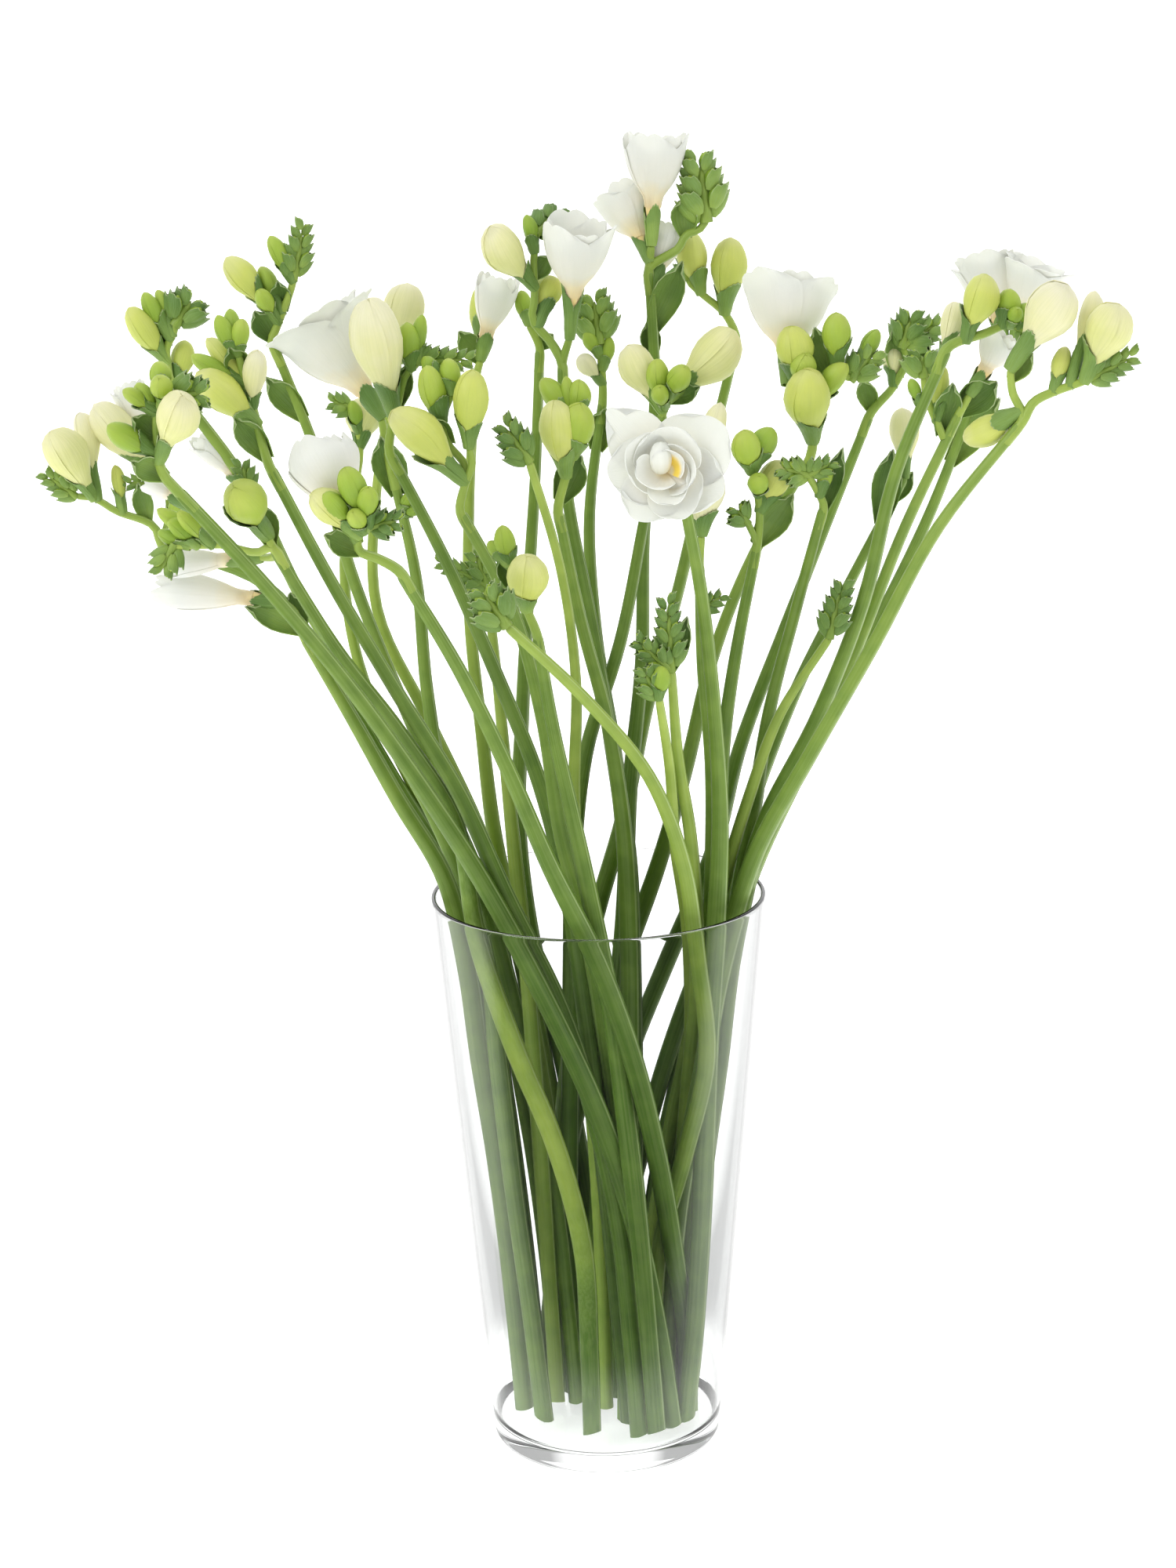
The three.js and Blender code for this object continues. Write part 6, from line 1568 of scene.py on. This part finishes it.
class BouquetSettings(PropertyGroup):
    """All settings of the bouquet."""

    vase: PointerProperty(type=VaseSettings, name="Vase", description="The glass vase")
    stems: PointerProperty(type=StemSettings, name="Stems", description="The freesia stems")
    spray: PointerProperty(type=SpraySettings, name="Sprays", description="Buds, bracts and petals")
    stage: PointerProperty(type=StageSettings, name="Stage", description="Floor, light and camera")


# ---- vase
# In metres: the hollow under the foot, how its edge is rounded, and how the corner inside is.
HOLLOW = 0.0006
FOOT_ROUNDING = 0.0032
WELL_ROUNDING = 0.005
WELL_INSET = 0.0012
# How many degrees the wall leans out, into how many parts it is turned, and how near points are merged.
WALL_LEAN = 5
TURNED_PARTS = 192
MERGED = 0.00002
# Where along a straight side its rings are: close to both ends, so that the long side shades evenly.
SIDE_RINGS = (0.006, 0.02, 0.25, 0.5, 0.75, 0.98, 0.994)


def arc(middle, radius, first, last, steps):
    """Points along an arc, from one angle to another in degrees."""
    turns = np.radians(np.linspace(first, last, steps + 1))
    return [(middle[0] + radius * math.cos(t), middle[1] + radius * math.sin(t)) for t in turns]


def side_rings(start, end):
    """Points along a straight side."""
    start, end = np.array(start), np.array(end)
    return [tuple(start + (end - start) * share) for share in SIDE_RINGS]


def vase_profile(settings):
    """The vase's half section, from its axis under the foot, over the rim, to the axis on its floor."""
    base, rim, wall, floor = settings.base_radius, settings.rim_radius, settings.wall, settings.floor
    lip = wall / 2
    foot = [(0.0, HOLLOW), (base * 0.55, HOLLOW), (base * 0.8, 0.0), (base - FOOT_ROUNDING, 0.0)]
    foot += arc((base - FOOT_ROUNDING, FOOT_ROUNDING), FOOT_ROUNDING, -90, WALL_LEAN, 7)
    edge = arc((rim - lip, settings.height - lip), lip, WALL_LEAN, 180 + WALL_LEAN, 22)
    well = (base - wall - WELL_ROUNDING + WELL_INSET, floor + WELL_ROUNDING)
    bowl = arc(well, WELL_ROUNDING, -WALL_LEAN, -90, 8)
    middle = [(base * 0.4, floor - 0.0001), (0.0, floor - 0.0002)]
    return foot + side_rings(foot[-1], edge[0]) + edge + side_rings(edge[-1], bowl[0]) + bowl + middle


def turned(profile):
    """A closed solid, drawn point by point along its half section and turned round the upright axis."""
    clear_selection()
    bpy.ops.mesh.primitive_plane_add(size=0.001)
    solid = bpy.context.object
    mode("EDIT")
    bpy.ops.mesh.select_mode(type="VERT")
    bpy.ops.mesh.select_all(action="SELECT")
    bpy.ops.mesh.merge(type="CENTER")
    here = Vector((profile[0][0], 0.0, profile[0][1]))
    bpy.ops.transform.translate(value=here)
    for radius, up in profile[1:]:
        there = Vector((radius, 0.0, up))
        bpy.ops.mesh.extrude_region_move(TRANSFORM_OT_translate={"value": there - here})
        here = there
    mode("OBJECT")
    turn = solid.modifiers.new("Turn", "SCREW")
    turn.steps = turn.render_steps = TURNED_PARTS
    turn.use_merge_vertices = True
    turn.merge_threshold = MERGED
    apply_modifiers(solid)
    mode("EDIT")
    bpy.ops.mesh.select_all(action="SELECT")
    bpy.ops.mesh.remove_doubles(threshold=MERGED)
    bpy.ops.mesh.normals_make_consistent(inside=False)
    mode("OBJECT")
    bpy.ops.object.shade_smooth()
    return solid


# ---- stage
# In metres: the square of floor and its middle, how high the backdrop stands on its far edge, how the bend
# between them is rounded, and how far back an edge lies to be the far one.
STAGE_SIZE = 7.0
STAGE_MIDDLE = (0.0, -0.9, -0.0003)
BACKDROP_HEIGHT = 4.5
BEND_RADIUS = 1.0
FAR_EDGE = 3.4
# Each lamp: name, place and size in metres.
LAMPS = [
    ("key_light", (-1.7, -1.3, 1.7), (1.4, 1.8)),
    ("fill_light", (1.9, -1.1, 1.2), (1.2, 1.8)),
    ("top_light", (0.1, 0.4, 2.4), (2.0, 1.6)),
]
LAMPS_AIM = Vector((0, 0, 0.28))
WHITE = (1.0, 1.0, 1.0, 1.0)
NEAR_BLACK = (0.05, 0.05, 0.05, 1.0)
PAPER_GLOW = 0.55


def select_far_edge(floor):
    """Selects the edge of the floor that the backdrop stands on."""
    for edge in floor.data.edges:
        ends = [floor.data.vertices[i].co for i in edge.vertices]
        edge.select = min(end.y for end in ends) > FAR_EDGE and max(end.z for end in ends) < 0.1


def make_floor(colour):
    """The floor and its backdrop, one sheet of paper with a rounded bend."""
    clear_selection()
    bpy.ops.mesh.primitive_plane_add(size=STAGE_SIZE, location=STAGE_MIDDLE)
    floor = bpy.context.object
    floor.name = "floor"
    mode("EDIT")
    bpy.ops.mesh.select_all(action="DESELECT")
    mode("OBJECT")
    select_far_edge(floor)
    mode("EDIT")
    bpy.ops.mesh.select_mode(type="EDGE")
    bpy.ops.mesh.extrude_region_move(TRANSFORM_OT_translate={"value": (0, 0, BACKDROP_HEIGHT)})
    mode("OBJECT")
    select_far_edge(floor)
    mode("EDIT")
    bpy.ops.mesh.bevel(offset=BEND_RADIUS, segments=16, affect="EDGES")
    mode("OBJECT")
    bpy.ops.object.shade_smooth()
    floor.data.materials.append(paper_finish(colour))


def paper_finish(colour):
    """White paper that glows a little. The glass mirrors it dark in front, and shows it darker far aside."""
    paper = Finish("Studio paper")
    across, deep, _ = paper.split(paper.place)
    path = paper.tree.nodes.new("ShaderNodeLightPath")
    behind = paper.maths("SUBTRACT", deep, -STAGE_MIDDLE[1])
    from_axis = paper.maths("ADD", paper.maths("MULTIPLY", behind, behind),
                            paper.maths("MULTIPLY", across, across))
    away = paper.ranged(from_axis, 0.006, 0.016)
    in_front = paper.maths("MULTIPLY", paper.ranged(deep, 0.88, 0.76), away)
    mirrored = paper.maths("MULTIPLY", path.outputs["Glossy Depth"], in_front, clamp=True)
    aside = paper.maths("DIVIDE", paper.maths("ABSOLUTE", across), paper.maths("MAXIMUM", behind, 0.06))
    aside = paper.ranged(aside, 0.2, 0.6)
    bent = paper.maths("MULTIPLY", path.outputs["Transmission Depth"], aside, clamp=True)
    bent = paper.maths("MULTIPLY", paper.maths("MULTIPLY", bent, away), 0.6)
    hidden = paper.maths("MAXIMUM", mirrored, bent)
    shown = paper.maths("SUBTRACT", 1.0, hidden)
    grain = paper.maths("MULTIPLY", noise(paper.tree, paper.place, 3.0, 3.0), 0.04)
    paper.link("Base Color", paper.mixed(hidden, paper.mixed(grain, (*colour, 1.0), WHITE), NEAR_BLACK))
    paper.link("Emission Strength", paper.maths("MULTIPLY", shown, PAPER_GLOW))
    paper.set(Roughness=0.9, Specular_IOR_Level=0.1, Emission_Color=WHITE)
    return paper.material


def make_lamps(powers):
    """Three large soft lamps, turned towards the bouquet."""
    for (name, place, size), power in zip(LAMPS, powers):
        lamp = bpy.data.lights.new(name, "AREA")
        lamp.shape = "RECTANGLE"
        lamp.size, lamp.size_y = size
        lamp.energy = power
        holder = bpy.data.objects.new(name, lamp)
        holder.location = place
        holder.rotation_euler = (LAMPS_AIM - Vector(place)).to_track_quat("-Z", "Y").to_euler()
        bpy.context.scene.collection.objects.link(holder)


def make_surround(strength):
    """Even light from all round, which the glass mirrors less bright on the viewer's side."""
    world = bpy.data.worlds.new("Studio surround")
    bpy.context.scene.world = world
    world.use_nodes = True
    tree = world.node_tree
    back = next(n for n in tree.nodes if n.type == "BACKGROUND")
    coordinates = tree.nodes.new("ShaderNodeTexCoord")
    parts = tree.nodes.new("ShaderNodeSeparateXYZ")
    tree.links.new(coordinates.outputs["Generated"], parts.inputs[0])
    path = tree.nodes.new("ShaderNodeLightPath").outputs
    lighting = path["Is Diffuse Ray"]
    behind = ranged(tree, parts.outputs[1], -0.75, -0.1, 0.5, 1.0)
    clear = maths(tree, "MAXIMUM", path["Is Camera Ray"], path["Is Transmission Ray"])
    bright = maths(tree, "MAXIMUM", clear, behind)
    lit = maths(tree, "MULTIPLY", lighting, strength)
    unlit = maths(tree, "MULTIPLY", maths(tree, "SUBTRACT", 1.0, lighting), bright)
    tree.links.new(maths(tree, "ADD", lit, unlit), back.inputs["Strength"])
    back.inputs["Color"].default_value = WHITE


def make_camera(settings):
    """The camera, and how colours are shown."""
    camera = bpy.data.objects.new("camera", bpy.data.cameras.new("camera"))
    camera.data.lens = settings.lens
    camera.data.sensor_width = 36.0
    camera.data.sensor_fit = "AUTO"
    camera.data.clip_end = 50.0
    pitch = Matrix.Rotation(math.pi / 2 - settings.pitch, 4, "X")
    roll = Matrix.Rotation(settings.roll, 4, "Z")
    camera.matrix_world = Matrix.Translation([c * MM for c in CAMERA_PLACE]) @ pitch @ roll
    scene = bpy.context.scene
    scene.collection.objects.link(camera)
    scene.camera = camera
    scene.view_settings.view_transform = "Standard"
    scene.view_settings.look = "None"


# ---- operators
class Kit:
    """The blanks and finishes that the parts are made from, and the parts of the piece in hand."""

    def __init__(self, settings):
        self.settings = settings
        self.finishes = plant_finishes(settings)
        for name, (across, along) in BLANKS.items():
            setattr(self, name, Blank(across, along))
        self.bodies, self.sheets = [], []

    def put_away(self):
        for name in BLANKS:
            getattr(self, name).put_away()


class BOUQUET_OT_vase(Operator):
    """Make the conical clear glass vase with its thick foot and rounded rim"""

    bl_idname = "bouquet.vase"
    bl_label = "Vase"
    bl_options = {"REGISTER", "UNDO"}

    def execute(self, context):
        settings = context.scene.bouquet.vase
        vase = turned(vase_profile(settings))
        vase.name = vase.data.name = "vase_glass"
        vase.data.materials.clear()
        vase.data.materials.append(glass_finish(settings))
        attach(vase, "root")
        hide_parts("vase")
        return {"FINISHED"}


class BOUQUET_OT_stems(Operator):
    """Make every freesia stem with its spray, and the blooms that stand in their bracts"""

    bl_idname = "bouquet.stems"
    bl_label = "Freesia stems and blooms"
    bl_options = {"REGISTER", "UNDO"}

    def execute(self, context):
        strands = [Strand(row) for row in STEMS]
        settle(strands)
        kit = Kit(context.scene.bouquet)
        for strand in strands:
            for letter, bloom in zip("ab", build_stem(kit, strand)):
                node = strand.name.replace("stem", "bloom") + "_" + letter
                build_bloom(kit, node, BLOOM_WAYS[node], bloom)
        kit.put_away()
        return {"FINISHED"}


class BOUQUET_OT_stage(Operator):
    """Set the white floor and backdrop, the soft lights and the camera"""

    bl_idname = "bouquet.stage"
    bl_label = "Stage"
    bl_options = {"REGISTER", "UNDO"}

    def execute(self, context):
        settings = context.scene.bouquet.stage
        make_floor(settings.floor_colour)
        make_lamps((settings.key, settings.fill, settings.top))
        make_surround(settings.surround)
        make_camera(settings)
        return {"FINISHED"}


class BOUQUET_PT_panel(Panel):
    """Lists the bouquet's pieces and their settings"""

    bl_idname = "BOUQUET_PT_panel"
    bl_label = "Freesia bouquet"
    bl_space_type = "VIEW_3D"
    bl_region_type = "UI"
    bl_category = "Bouquet"

    def draw(self, context):
        settings = context.scene.bouquet
        for operator, groups in ((BOUQUET_OT_vase, (settings.vase,)),
                                 (BOUQUET_OT_stems, (settings.stems, settings.spray)),
                                 (BOUQUET_OT_stage, (settings.stage,))):
            box = self.layout.box()
            box.operator(operator.bl_idname)
            for group in groups:
                for name in group.__annotations__:
                    box.prop(group, name)


CLASSES = (VaseSettings, StemSettings, SpraySettings, StageSettings, BouquetSettings,
           BOUQUET_OT_vase, BOUQUET_OT_stems, BOUQUET_OT_stage, BOUQUET_PT_panel)


def register():
    for item in CLASSES:
        bpy.utils.register_class(item)
    bpy.types.Scene.bouquet = PointerProperty(type=BouquetSettings)


def unregister():
    del bpy.types.Scene.bouquet
    for item in reversed(CLASSES):
        bpy.utils.unregister_class(item)


def main():
    register()
    bpy.ops.bouquet.stage()
    bpy.ops.bouquet.vase()
    bpy.ops.bouquet.stems()


if __name__ == "__main__":
    main()
